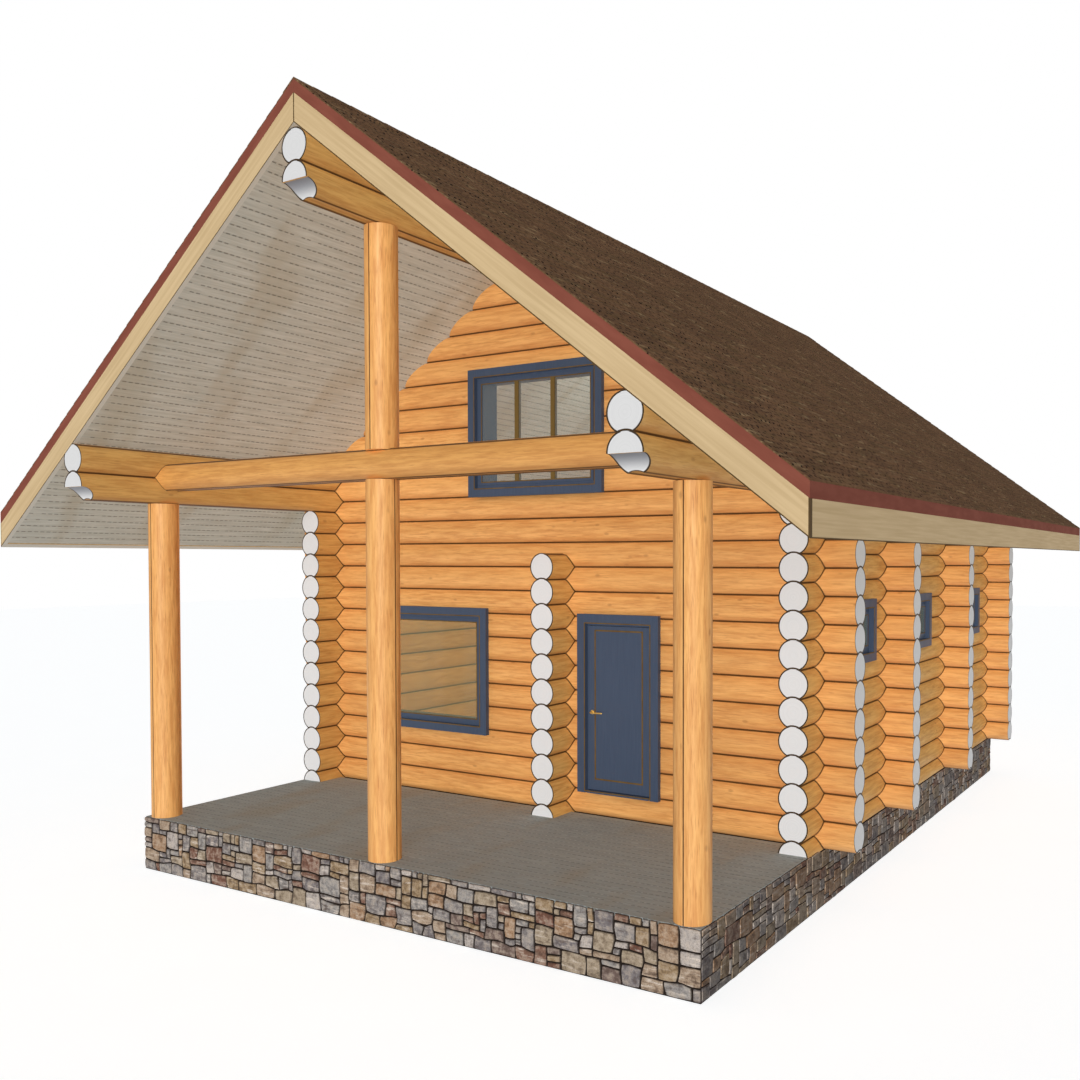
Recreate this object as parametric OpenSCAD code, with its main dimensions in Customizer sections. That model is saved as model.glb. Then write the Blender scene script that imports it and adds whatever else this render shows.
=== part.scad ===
/* [Logs] */
// Diameter of the round logs
log_d = 280; // [264:2:336]
// Height of one course of logs
log_pitch = 250; // [240:1:260]
// How far the log ends run past a crossing
log_end = 445; // [300:5:600]
// Courses of logs in the side walls, below the purlins
wall_courses = 13; // [12:1:14]
// Courses of logs in the partitions
partition_courses = 11; // [10:1:11]
// Course of the top ridge log
ridge_course = 23; // [21:1:25]

/* [Plan] */
// Distance between the axes of the side walls
wall_span = 5980; // [5200:10:7200]
// Depth of the porch, from the posts to the front wall
porch_depth = 2270; // [1800:10:3000]
// Depth of the front room
front_room = 1765; // [1500:5:2400]
// Depth of the middle room
middle_room = 2340; // [1800:5:3000]
// Depth of the back room
back_room = 2360; // [1800:5:3000]
// Distance of the long partition from the middle of the house
partition_x = 307; // [250:1:340]

/* [Plinth and floors] */
// Height of the stone plinth
plinth_height = 505; // [300:5:800]
// Thickness of the plinth walls
plinth_wall = 400; // [320:10:480]
// Thickness of the porch deck boards
deck_board = 28; // [20:1:45]
// Height of the deck's top above the foot of the log walls
deck_rise = 16; // [5:1:20]
// Thickness of the floor boards in the house
floor_board = 36; // [20:1:45]
// Width of an attic joist
joist_w = 60; // [45:5:80]
// Depth of an attic joist
joist_h = 160; // [140:5:180]
// Largest distance between attic joists
joist_step = 800; // [500:10:1000]

/* [Roof] */
// How far the roof runs past the posts in front and past the back wall
gable_overhang = 900; // [600:10:1200]
// How far the roof runs past the axes of the side walls
eave_overhang = 1235; // [800:5:1500]
// Thickness of the soffit boards
soffit_board = 20; // [15:1:30]
// Depth of a rafter
rafter_h = 160; // [120:5:220]
// Width of a rafter
rafter_w = 50; // [40:5:80]
// Largest distance between rafters
rafter_step = 620; // [500:10:900]
// Thickness of the boarding and battens over the rafters
roof_deck = 80; // [40:5:120]
// Thickness of the shingles
shingle_t = 14; // [8:1:25]
// Thickness of the boards along the roof's edges
edge_board = 40; // [25:1:50]

/* [Entrance door] */
// Middle of the entrance, right of the middle of the house
door_x = 1024; // [960:1:1100]
// Width of the door casing over its trim
door_casing_w = 938; // [880:2:1000]
// Height of the casing's head above the foot of the log walls
door_head = 2033; // [1960:1:2060]
// Width of the door trim
door_trim_w = 95; // [80:1:105]
// Distance from the edge of the casing to the clear doorway
door_reveal = 112; // [108:1:125]
// Thickness of the door lining
door_lining = 32; // [25:1:32]
// Thickness of the threshold
threshold_t = 26; // [20:1:40]
// Thickness of the door leaf
leaf_t = 60; // [45:1:64]
// Clearance round the door leaf
leaf_gap = 6; // [5:0.5:8]
// Distance of the leaf's moulding from its side edges
moulding_side = 72; // [70:1:110]
// Distance of the leaf's moulding from its upper edge
moulding_head = 40; // [30:1:110]
// Distance of the leaf's moulding from its lower edge
moulding_foot = 104; // [60:1:140]
// Height of the lever above the foot of the log walls
lever_z = 1054; // [900:1:1150]
// Distance of the lever's spindle from the edge of the leaf
lever_backset = 46; // [44:1:80]
// Length of the lever's grip
lever_grip = 138; // [90:1:150]

/* [Windows] */
// Middle of the front window, left of the middle of the house
front_window_x = 1470; // [1400:5:1500]
// Width of the front window's casing
front_window_w = 1700; // [1200:10:1740]
// Height of the front window's foot
front_window_foot = 705; // [690:1:730]
// Height of the front window's head
front_window_head = 2058; // [2020:1:2080]
// Width of a gable window's casing
gable_window_w = 1700; // [1200:10:1900]
// Height of a gable window's foot
gable_window_foot = 3238; // [3235:1:3260]
// Height of a gable window's head
gable_window_head = 4584; // [4540:1:4600]
// Distance between the two mullions of a gable window
mullion_step = 460; // [350:10:560]
// Width of a mullion
mullion_w = 50; // [35:1:70]
// Width of a side window's casing
side_window_w = 612; // [540:2:900]
// Height of a side window's foot
side_window_foot = 1575; // [1570:1:1600]
// Height of a side window's head
side_window_head = 2188; // [2160:1:2210]
// Middle of the front room's window, behind the front wall
front_room_window = 933; // [900:1:1000]
// Middle of the middle room's window, behind the front partition
middle_room_window = 1185; // [900:1:1300]
// Middle of the back room's window, behind the back partition
back_room_window = 1272; // [900:1:1300]
// Width of the window trim
trim_w = 90; // [82:1:110]
// How far the trim stands out of the logs
trim_t = 50; // [30:1:60]
// Distance from the edge of a window casing to its clear opening
window_reveal = 125; // [120:1:135]
// Thickness of the window lining
window_lining = 45; // [30:1:45]
// Width of the sash bars
sash_w = 35; // [25:1:50]
// Depth of the sash bars
sash_t = 44; // [36:1:60]
// Thickness of the glass
glass_t = 6; // [4:1:24]

/* [Fits] */
// Gap between pieces that are fitted to each other
fit = 0.4; // [0.3:0.1:0.6]

/* [Hidden] */

log_fn = 64;
pin_fn = 32;
cup_sides = 24;
log_r = log_d / 2;
half_pitch = log_pitch / 2;
half_span = wall_span / 2;

// Lines across the house, from the front edge of the roof to the back one
roof_length = 2 * gable_overhang + porch_depth + front_room + middle_room + back_room;
rake_front = -roof_length / 2;
rake_back = roof_length / 2;
post_y = rake_front + gable_overhang;
front_y = post_y + porch_depth;
partition_1_y = front_y + front_room;
partition_2_y = partition_1_y + middle_room;
back_y = partition_2_y + back_room;

// Heights above the foot of the log walls. Logs along Y lie on whole courses, logs along X
// half a course higher, so that they lock at the corners.
function y_log_z(k) = k * log_pitch;
function x_log_z(k) = (k + 0.5) * log_pitch;

// The soffit plane touches the ridge log and the tops of the upper side purlins
upper_purlin = wall_courses + 1;
ridge_rise = y_log_z(ridge_course) - y_log_z(upper_purlin);
function pitch_from(a) = atan((ridge_rise + log_r / cos(a) - log_r) / half_span);
roof_pitch = pitch_from(pitch_from(pitch_from(atan(ridge_rise / half_span))));
roof_slope = tan(roof_pitch);
soffit_apex = y_log_z(ridge_course) + (log_r + fit) / cos(roof_pitch);
last_gable_course = floor(soffit_apex / log_pitch);
function soffit_z(x) = soffit_apex - roof_slope * abs(x);
eave_x = half_span + eave_overhang;

// Layers of the roof, measured square to the slope
rafter_top = soffit_board + rafter_h;
deck_top = rafter_top + roof_deck;
roof_top = deck_top + shingle_t;

// A beam's or a gable log's end past the axis of the purlin that it lies in
beam_end = 75;
// The gable course beside the upper purlin stops short of the purlin's axis
feather = 20;
// Seats planed into the logs below and above an opening
foot_plane = 5;
head_plane = 20;
// The king post's seat in the tie beam
king_seat = 15;
floor_margin = 10;
cut = 50;

// ---- Openings: [middle along the wall, casing width, foot, head, reveal, lining] ----

// The saw cut for an opening runs between whole courses. shift is 0 for logs along X, 0.5 for Y.
function cut_foot(o, shift) =
    (floor((o[2] + o[4]) / log_pitch + shift) - shift) * log_pitch - foot_plane;
function cut_head(o, shift) =
    (ceil((o[3] - o[4] + o[5] - head_plane) / log_pitch - shift) + shift) * log_pitch + head_plane;
function cut_half(o) = o[1] / 2 - o[4] + o[5] + fit;
function clear_half(o) = o[1] / 2 - o[4];

door_foot = log_pitch - foot_plane;
entrance = [door_x, door_casing_w, door_foot, door_head, door_reveal, door_lining];
front_window = [-front_window_x, front_window_w, front_window_foot, front_window_head,
    window_reveal, window_lining];
gable_window = [0, gable_window_w, gable_window_foot, gable_window_head,
    window_reveal, window_lining];
function side_window(y) = [y, side_window_w, side_window_foot, side_window_head,
    window_reveal, window_lining];
middle_window = side_window(partition_1_y + middle_room_window);
back_window = side_window(partition_2_y + back_room_window);
right_windows = [side_window(front_y + front_room_window), middle_window, back_window];
left_windows = [middle_window, back_window];

// Plain doorways between the rooms: a reveal as deep as the lining
inner_lining = 30;
inner_door_w = 760;
inner_door_head = 2000;
long_doorway = [front_y + front_room / 2, inner_door_w, half_pitch - foot_plane, inner_door_head,
    inner_lining, inner_lining];
cross_doorway = [half_span - 900, inner_door_w, door_foot, inner_door_head,
    inner_lining, inner_lining];

// ---- Helpers ----

module lift() {
    translate([0, 0, plinth_height]) children();
}

// A box from its lowest to its highest corner
module span(a, b) {
    translate(a) cube(b - a);
}

module x_rod(x0, x1, y, z, r, sides = log_fn) {
    translate([x0, y, z]) rotate([0, 90, 0]) cylinder(r = r, h = x1 - x0, $fn = sides);
}

module y_rod(y0, y1, x, z, r, sides = log_fn) {
    translate([x, y0, z]) rotate([-90, 0, 0]) cylinder(r = r, h = y1 - y0, $fn = sides);
}

// The cup that a crossing log lies in: flats, as an axe leaves them, that touch the fit round it
module cup_outline() {
    corner = (log_r + fit) / cos(180 / cup_sides);
    polygon([for (i = [0 : cup_sides - 1]) corner * [cos(360 * i / cup_sides),
        sin(360 * i / cup_sides)]]);
}

module x_cup(x, y, z) {
    translate([x - log_d, y, z]) rotate([90, 0, 90]) linear_extrude(2 * log_d) cup_outline();
}

module y_cup(x, y, z) {
    translate([x, y + log_d, z]) rotate([90, 0, 0]) linear_extrude(2 * log_d) cup_outline();
}

// A log along X, scribed over the log below it and cupped over the logs that it crosses
module x_log(k, x0, x1, y, crossings) {
    z = x_log_z(k);
    difference() {
        x_rod(x0, x1, y, z, log_r);
        if (k == 0)
            span([x0 - cut, y - log_d, -log_d], [x1 + cut, y + log_d, 0]);
        else
            x_rod(x0 - cut, x1 + cut, y, z - log_pitch, log_r + fit);
        for (x = crossings)
            y_cup(x, y, z - half_pitch);
    }
}

// A log along Y, likewise. The lowest is a half log that lies flat on the plinth.
module y_log(k, y0, y1, x, crossings) {
    z = y_log_z(k);
    difference() {
        y_rod(y0, y1, x, z, log_r);
        if (k == 0)
            span([x - log_d, y0 - cut, -log_d], [x + log_d, y1 + cut, 0]);
        else {
            y_rod(y0 - cut, y1 + cut, x, z - log_pitch, log_r + fit);
            for (y = crossings)
                x_cup(x, y, z - half_pitch);
        }
    }
}

// The saw cut of an opening in a wall along X, and in one along Y
module x_wall_cut(o, y) {
    h = cut_half(o);
    span([o[0] - h, y - log_d, cut_foot(o, 0)], [o[0] + h, y + log_d, cut_head(o, 0)]);
}

module y_wall_cut(o, x) {
    h = cut_half(o);
    span([x - log_d, o[0] - h, cut_foot(o, 0.5)], [x + log_d, o[0] + h, cut_head(o, 0.5)]);
}

// ---- Plinth, deck and floors ----

plinth_x = half_span + log_r;
plinth_front_y = post_y - log_r;
plinth_back_y = back_y + log_r;
deck_bed = deck_rise - deck_board;
porch_end_y = front_y - log_r;
strip_half = plinth_wall / 2 - 50;

module plinth_front() {
    color("darkgray")
        span([-plinth_x, plinth_front_y, 0],
            [plinth_x, plinth_front_y + plinth_wall, plinth_height + deck_bed]);
}

module plinth_side(side) {
    x0 = side > 0 ? plinth_x - plinth_wall : -plinth_x;
    y0 = plinth_front_y + plinth_wall;
    difference() {
        span([x0, y0, 0], [x0 + plinth_wall, plinth_back_y - plinth_wall, plinth_height]);
        translate([0, 0, plinth_height + deck_bed])
            span([x0 - cut, y0 - cut, 0], [x0 + plinth_wall + cut, porch_end_y, cut]);
    }
}

module plinth_left() {
    color("darkgray") plinth_side(-1);
}

module plinth_right() {
    color("darkgray") plinth_side(1);
}

module plinth_back() {
    color("darkgray")
        span([-plinth_x, plinth_back_y - plinth_wall, 0], [plinth_x, plinth_back_y, plinth_height]);
}

// Cross walls of the plinth under the front wall and the partitions
module plinth_strips() {
    inner_x = plinth_x - plinth_wall;
    strip_end_y = front_y + plinth_wall / 2;
    color("darkgray") {
        difference() {
            span([-inner_x, front_y - plinth_wall / 2, 0], [inner_x, strip_end_y, plinth_height]);
            translate([0, 0, plinth_height + deck_bed])
                span([-inner_x - cut, front_y - plinth_wall, 0], [inner_x + cut, porch_end_y, cut]);
        }
        span([partition_x - strip_half, strip_end_y + fit, 0],
            [partition_x + strip_half, plinth_back_y - plinth_wall, plinth_height]);
        for (y = [partition_1_y, partition_2_y])
            span([partition_x + strip_half + fit, y - strip_half, 0],
                [inner_x, y + strip_half, plinth_height]);
    }
}

// The deck is let in under the ends of the lowest logs
module porch_deck() {
    color("dimgray") lift()
        difference() {
            span([-plinth_x, plinth_front_y, deck_bed], [plinth_x, porch_end_y - fit, deck_rise]);
            for (x = [-half_span, partition_x, half_span])
                span([x - log_r - fit, front_y - log_end - fit, 0],
                    [x + log_r + fit, front_y, cut]);
        }
}

// Floor boards stop clear of the round faces of the logs
floor_edge = log_r + floor_margin;
rooms = [[front_y, partition_1_y], [partition_1_y, partition_2_y], [partition_2_y, back_y]];

module ground_floor() {
    color("burlywood") lift() {
        span([-half_span + floor_edge, front_y + floor_edge, 0],
            [partition_x - floor_edge, back_y - floor_edge, floor_board]);
        for (room = rooms)
            span([partition_x + floor_edge, room[0] + floor_edge, 0],
                [half_span - floor_edge, room[1] - floor_edge, floor_board]);
    }
}

// ---- Attic floor: joists that lie on the long partition, let into the side walls ----

joist_z = y_log_z(partition_courses - 1) + log_r + fit;
joist_log = partition_courses;
joist_end = half_span - log_r / 2;
joist_margin = 60;

// Joists of one room, from its front wall to its back wall
function room_joists(room) =
    let (edge = log_r + joist_margin + joist_w / 2,
        run = room[1] - room[0] - 2 * edge,
        n = ceil(run / joist_step))
    [for (i = [0 : n]) room[0] + edge + run * i / n];
joist_ys = [for (room = rooms) each room_joists(room)];

module joists(gap) {
    for (y = joist_ys)
        span([-joist_end - gap, y - joist_w / 2 - gap, joist_z - gap],
            [joist_end + gap, y + joist_w / 2 + gap, joist_z + joist_h + gap]);
}

module attic_joists() {
    color("tan") lift() joists(0);
}

module attic_floor() {
    color("burlywood") lift()
        span([-half_span + floor_edge, front_y + floor_edge, joist_z + joist_h],
            [half_span - floor_edge, back_y - floor_edge, joist_z + joist_h + floor_board]);
}

// ---- Log walls ----

// Crossings of a side wall's log with the logs along X below it
function side_crossings(k, side) = concat([front_y, back_y],
    side > 0 && k <= partition_courses ? [partition_1_y, partition_2_y] : []);

module side_wall(side, windows) {
    x = side * half_span;
    color("sandybrown") lift()
        for (k = [0 : wall_courses - 1])
            difference() {
                y_log(k, front_y - log_end, back_y + log_end, x, side_crossings(k, side));
                for (o = windows)
                    y_wall_cut(o, x);
                if (k == joist_log)
                    joists(fit);
            }
}

module left_wall() {
    side_wall(-1, left_windows);
}

module right_wall() {
    side_wall(1, right_windows);
}

// Crossings of the front and back walls' logs with the logs along Y below them
function wall_crossings(k) = concat([-half_span, half_span],
    k < partition_courses ? [partition_x] : []);
wall_end_x = half_span + log_end;
door_left = entrance[0] - cut_half(entrance);
door_right = entrance[0] + cut_half(entrance);
// Courses that the entrance cuts through
door_first = 1;
door_last = round((cut_head(entrance, 0) - head_plane) / log_pitch) - 1;

module front_logs(first, last, x0, x1) {
    color("sandybrown") lift()
        for (k = [first : last])
            difference() {
                x_log(k, x0, x1, front_y, wall_crossings(k));
                x_wall_cut(front_window, front_y);
                x_wall_cut(entrance, front_y);
                x_wall_cut(gable_window, front_y);
            }
}

module front_sill_log() {
    front_logs(0, 0, -wall_end_x, wall_end_x);
}

module front_wall_left() {
    front_logs(door_first, door_last, -wall_end_x, door_left);
}

module front_wall_right() {
    front_logs(door_first, door_last, door_right, wall_end_x);
}

module front_wall_over_door() {
    front_logs(door_last + 1, wall_courses - 1, -wall_end_x, wall_end_x);
}

module back_wall() {
    color("sandybrown") lift()
        for (k = [0 : wall_courses - 1])
            difference() {
                x_log(k, -wall_end_x, wall_end_x, back_y, wall_crossings(k));
                x_wall_cut(gable_window, back_y);
            }
}

// The space under the soffit, as long as the roof
module under_roof() {
    drop = fit / cos(roof_pitch);
    translate([0, rake_back, 0]) rotate([90, 0, 0]) linear_extrude(roof_length)
        polygon([[-eave_x, 0], [eave_x, 0], [eave_x, soffit_z(eave_x) - drop],
            [0, soffit_apex - drop], [-eave_x, soffit_z(eave_x) - drop]]);
}

// Gable logs: the first lies between the two side purlins, the rest end at the soffit
function gable_half(k) = k == wall_courses ? half_span + beam_end : half_span - feather;
function gable_crossings(k) = concat(
    k <= upper_purlin ? [-half_span, half_span] : [],
    k >= ridge_course - 1 ? [0] : []);

module gable_log(k, y) {
    difference() {
        x_log(k, -gable_half(k), gable_half(k), y, gable_crossings(k));
        x_wall_cut(gable_window, y);
    }
}

module gable(y) {
    color("sandybrown") lift()
        for (k = [wall_courses : last_gable_course])
            intersection() {
                gable_log(k, y);
                under_roof();
            }
}

module front_gable() {
    gable(front_y);
}

module back_gable() {
    gable(back_y);
}

module long_partition() {
    color("sandybrown") lift()
        for (k = [0 : partition_courses - 1])
            difference() {
                y_log(k, front_y - log_end, back_y + log_end, partition_x,
                    [front_y, partition_1_y, partition_2_y, back_y]);
                y_wall_cut(long_doorway, partition_x);
            }
}

// The cross partitions end flush with the far face of the long one
module cross_partition(y) {
    color("sandybrown") lift()
        for (k = [0 : partition_courses - 1])
            difference() {
                x_log(k, partition_x - log_r, wall_end_x, y, [partition_x, half_span]);
                x_wall_cut(cross_doorway, y);
            }
}

module front_partition() {
    cross_partition(partition_1_y);
}

module back_partition() {
    cross_partition(partition_2_y);
}

// ---- Purlins, tie beam and posts ----

cove_r = log_r - 6;

// A purlin runs the whole length of the roof. The lower of two has coved ends.
module purlin(k, x, crossings, coved) {
    intersection() {
        difference() {
            y_log(k, rake_front, rake_back, x, crossings);
            if (coved)
                for (y = [rake_front, rake_back])
                    x_rod(x - log_d, x + log_d, y, y_log_z(k) - log_r, cove_r);
        }
        under_roof();
    }
}

module side_purlins() {
    color("sandybrown") lift()
        for (x = [-half_span, half_span]) {
            purlin(wall_courses, x, [front_y, back_y], true);
            purlin(upper_purlin, x, [post_y, front_y, back_y], false);
        }
}

module ridge_purlins() {
    color("sandybrown") lift() {
        purlin(ridge_course - 1, 0, [front_y, back_y], true);
        purlin(ridge_course, 0, [front_y, back_y], false);
    }
}

king_foot = x_log_z(wall_courses) + log_r - king_seat;

module tie_beam() {
    color("sandybrown") lift()
        difference() {
            x_log(wall_courses, -half_span - beam_end, half_span + beam_end, post_y,
                [-half_span, half_span]);
            span([-log_r - fit, post_y - log_d, king_foot], [log_r + fit, post_y + log_d,
                king_foot + log_d]);
        }
}

module post(x, foot, head) {
    color("sandybrown") lift()
        translate([x, post_y, foot]) cylinder(r = log_r, h = head - foot, $fn = log_fn);
}

module king_post() {
    post(0, king_foot, y_log_z(ridge_course - 1) - half_pitch);
}

module left_post() {
    post(-half_span, deck_rise, y_log_z(wall_courses) - half_pitch);
}

module middle_post() {
    post(0, deck_rise, x_log_z(wall_courses) - half_pitch);
}

module right_post() {
    post(half_span, deck_rise, y_log_z(wall_courses) - half_pitch);
}

// ---- Roof ----

// A layer of one slope, from its height t0 to t1 square to the slope, with plumb ends
module roof_layer(side, t0, t1, x0, x1, y0, y1) {
    up = 1 / cos(roof_pitch);
    lift() translate([0, y1, 0]) rotate([90, 0, 0]) linear_extrude(y1 - y0)
        polygon([for (p = [[x0, t0], [x1, t0], [x1, t1], [x0, t1]])
            [side * p[0], soffit_z(p[0]) + p[1] * up]]);
}

inside_front = rake_front + edge_board;
inside_back = rake_back - edge_board;
inside_eave = eave_x - edge_board;
rafter_run = inside_back - inside_front - 2 * fit - rafter_w;
rafter_count = ceil(rafter_run / rafter_step);

module rafters() {
    color("tan")
        for (side = [-1, 1], i = [0 : rafter_count]) {
            y = inside_front + fit + rafter_run * i / rafter_count;
            roof_layer(side, soffit_board + fit, rafter_top, fit / 2, inside_eave - fit,
                y, y + rafter_w);
        }
}

module soffit(side) {
    color("rosybrown")
        roof_layer(side, 0, soffit_board, 0, inside_eave, inside_front, inside_back);
}

module soffit_left() {
    soffit(-1);
}

module soffit_right() {
    soffit(1);
}

module boarding(side) {
    color("tan")
        roof_layer(side, rafter_top + fit, deck_top, 0, inside_eave, inside_front, inside_back);
}

module roof_deck_left() {
    boarding(-1);
}

module roof_deck_right() {
    boarding(1);
}

module shingles(side) {
    color("saddlebrown")
        roof_layer(side, deck_top + fit, roof_top, 0, eave_x, rake_front, rake_back);
}

module shingles_left() {
    shingles(-1);
}

module shingles_right() {
    shingles(1);
}

// Edge boards of both gables, from the apex to the eaves
module rakes(t0, t1) {
    for (side = [-1, 1], y = [rake_front, rake_back - edge_board])
        roof_layer(side, t0, t1, fit / 2, eave_x, y, y + edge_board);
}

// Edge boards of both eaves, between those of the gables
module eaves(t0, t1) {
    for (side = [-1, 1])
        roof_layer(side, t0, t1, inside_eave, eave_x, inside_front + fit, inside_back - fit);
}

module rake_boards() {
    color("wheat") rakes(0, rafter_top);
}

module eave_boards() {
    color("wheat") eaves(0, rafter_top);
}

module roof_edge_trim() {
    color("brown") {
        rakes(rafter_top + fit, deck_top);
        eaves(rafter_top + fit, deck_top);
    }
}

// ---- Casings. Drawn for a wall along X whose outside is towards -Y, with its axis at y = 0 ----

trim_front = -log_r - trim_t;
trim_back = -log_r - fit;

// A ring of four boards that don't touch: [half width, foot, head] outside, board widths inside
module ring(outer_half, foot, head, side_w, foot_w, head_w, y0, y1) {
    for (s = [-1, 1])
        span([min(s * outer_half, s * (outer_half - side_w)), y0, foot],
            [max(s * outer_half, s * (outer_half - side_w)), y1, head]);
    inner = outer_half - side_w - fit;
    if (foot_w > 0)
        span([-inner, y0, foot], [inner, y1, foot + foot_w]);
    span([-inner, y0, head - head_w], [inner, y1, head]);
}

// The trim of a window and the lining that runs through the wall; shift as for the saw cut
module window_casing(o, shift) {
    foot = cut_foot(o, shift) + fit;
    half = clear_half(o) + o[5];
    ring(o[1] / 2, o[2], o[3], trim_w, trim_w, trim_w, trim_front, trim_back);
    ring(half, foot, o[3] - o[4] + o[5], o[5], o[2] + o[4] - foot, o[5], -log_r, log_r);
}

glass_y = -log_r;
sash_y0 = glass_y - 10;
sash_y1 = sash_y0 + sash_t;

module window_sash(o, mullions) {
    foot = o[2] + o[4] + fit;
    head = o[3] - o[4] - fit;
    ring(clear_half(o) - fit, foot, head, sash_w, sash_w, sash_w, sash_y0, sash_y1);
    for (x = mullions)
        span([x - mullion_w / 2, sash_y0, foot + sash_w + fit],
            [x + mullion_w / 2, sash_y1, head - sash_w - fit]);
}

module window_panes(o, mullions) {
    foot = o[2] + o[4] + sash_w + 2 * fit;
    head = o[3] - o[4] - sash_w - 2 * fit;
    edge = clear_half(o) - sash_w - 2 * fit;
    starts = concat([-edge], [for (x = mullions) x + mullion_w / 2 + fit]);
    ends = concat([for (x = mullions) x - mullion_w / 2 - fit], [edge]);
    for (i = [0 : len(mullions)])
        span([starts[i], glass_y, foot], [ends[i], glass_y + glass_t, head]);
}

mullion_xs = [-mullion_step / 2, mullion_step / 2];

// Places the children in the front, in both gables or in the side walls
module at_front_window() {
    lift() translate([front_window[0], front_y, 0]) children();
}

module at_gable_windows() {
    lift() {
        translate([0, front_y, 0]) children();
        translate([0, back_y, 0]) rotate([0, 0, 180]) children();
    }
}

module at_side_windows() {
    lift() {
        for (o = right_windows)
            translate([half_span, o[0], 0]) rotate([0, 0, 90]) children();
        for (o = left_windows)
            translate([-half_span, o[0], 0]) rotate([0, 0, -90]) children();
    }
}

module window_frames() {
    color("slategray") {
        at_front_window() window_casing(front_window, 0);
        at_gable_windows() window_casing(gable_window, 0);
        at_side_windows() window_casing(middle_window, 0.5);
    }
}

module window_sashes() {
    color("slategray") {
        at_front_window() window_sash(front_window, []);
        at_gable_windows() window_sash(gable_window, mullion_xs);
        at_side_windows() window_sash(middle_window, []);
    }
}

module window_glass() {
    color("lightsteelblue", 0.4) {
        at_front_window() window_panes(front_window, []);
        at_gable_windows() window_panes(gable_window, mullion_xs);
        at_side_windows() window_panes(middle_window, []);
    }
}

// Bare linings of the doorways between the rooms
module doorway_lining(o, shift) {
    foot = cut_foot(o, shift) + fit;
    ring(o[1] / 2, foot, inner_door_head, inner_lining, inner_lining, inner_lining, -log_r, log_r);
}

module inner_door_linings() {
    color("burlywood") lift() {
        translate([partition_x, long_doorway[0], 0]) rotate([0, 0, 90])
            doorway_lining(long_doorway, 0.5);
        for (y = [partition_1_y, partition_2_y])
            translate([cross_doorway[0], y, 0]) doorway_lining(cross_doorway, 0);
    }
}

// ---- Entrance door. Drawn with the middle of the doorway at x = 0 and the wall's axis at y = 0 ----

door_half = clear_half(entrance);
leaf_half = door_half - leaf_gap;
leaf_front = trim_front + 35;
leaf_back = leaf_front + leaf_t;
leaf_foot = door_foot + fit + threshold_t + leaf_gap;
leaf_head = door_head - door_reveal - leaf_gap;
stop_w = 20;
stop_t = 30;
hinge_r = 7;
hinge_pin_r = 3;
hinge_x = leaf_half + 2;
hinge_y = leaf_front - hinge_r - 1;
knuckle_h = 34;
hinge_plate_t = 2.4;
hinge_plate_w = 60;
hinge_inset = 220;
hinge_zs = [leaf_foot + hinge_inset, (leaf_foot + leaf_head) / 2, leaf_head - hinge_inset];
pin_gap = 0.3;
moulding_w = 10;
moulding_depth = 4;
spindle_r = 8;
rose_r = 22;
rose_t = 9;
lever_x = -leaf_half + lever_backset;
lever_reach = 52;
grip_r = 9;

module at_door() {
    lift() translate([door_x, front_y, 0]) children();
}

// A fixed knuckle above and below the moving one, on a plate that is screwed to the trim
module hinge_frame_half(z) {
    plate_x = door_casing_w / 2 - door_trim_w - fit;
    for (s = [-1, 1])
        translate([0, 0, z + s * (knuckle_h + fit)]) {
            difference() {
                union() {
                    translate([hinge_x, hinge_y, -knuckle_h / 2])
                        cylinder(r = hinge_r, h = knuckle_h, $fn = pin_fn);
                    span([hinge_x + 1, hinge_y - hinge_plate_t / 2, -knuckle_h / 2],
                        [plate_x, hinge_y + hinge_plate_t / 2, knuckle_h / 2]);
                    span([plate_x - hinge_plate_t, trim_front + 2, -knuckle_h / 2],
                        [plate_x, trim_back - 2, knuckle_h / 2]);
                }
                translate([hinge_x, hinge_y, -knuckle_h])
                    cylinder(r = hinge_pin_r + pin_gap, h = 2 * knuckle_h, $fn = pin_fn);
            }
        }
}

// The moving knuckle, its plate on the leaf and the pin that reaches through the fixed knuckles
module hinge_leaf_half(z) {
    translate([0, 0, z]) {
        translate([hinge_x, hinge_y, -knuckle_h / 2])
            cylinder(r = hinge_r, h = knuckle_h, $fn = pin_fn);
        span([leaf_half - hinge_plate_w, leaf_front - fit - hinge_plate_t, -knuckle_h / 2],
            [hinge_x, leaf_front - fit, knuckle_h / 2]);
        translate([hinge_x, hinge_y, -1.5 * knuckle_h])
            cylinder(r = hinge_pin_r, h = 3 * knuckle_h, $fn = pin_fn);
    }
}

module door_frame() {
    outer = door_casing_w / 2;
    half = cut_half(entrance) - fit;
    head = door_head - door_reveal + door_lining;
    lining_foot = door_foot + fit;
    stop_y = leaf_back + leaf_gap;
    color("slategray") at_door() {
        ring(outer, door_foot, door_head, door_trim_w, 0, door_trim_w, trim_front, trim_back);
        ring(half, lining_foot, head, door_lining, 0, door_lining, -log_r, log_r);
        // Threshold, between the trims outside and the linings inside
        span([-door_half + fit, trim_front, lining_foot],
            [door_half - fit, log_r, lining_foot + threshold_t]);
        for (s = [-1, 1])
            span([min(s * (door_half - fit), s * (door_half - stop_w)), stop_y,
                    lining_foot + threshold_t + fit],
                [max(s * (door_half - fit), s * (door_half - stop_w)), stop_y + stop_t,
                    door_head - door_reveal - fit]);
        span([-door_half + stop_w + fit, stop_y, door_head - door_reveal - stop_w],
            [door_half - stop_w - fit, stop_y + stop_t, door_head - door_reveal - fit]);
        for (z = hinge_zs)
            hinge_frame_half(z);
    }
}

// What lies inside the moulding's outer edge, less an inset, from y0 to y1
module panel_block(inset, y0, y1) {
    half = leaf_half - moulding_side - inset;
    span([-half, y0, leaf_foot + moulding_foot + inset],
        [half, y1, leaf_head - moulding_head - inset]);
}

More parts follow.
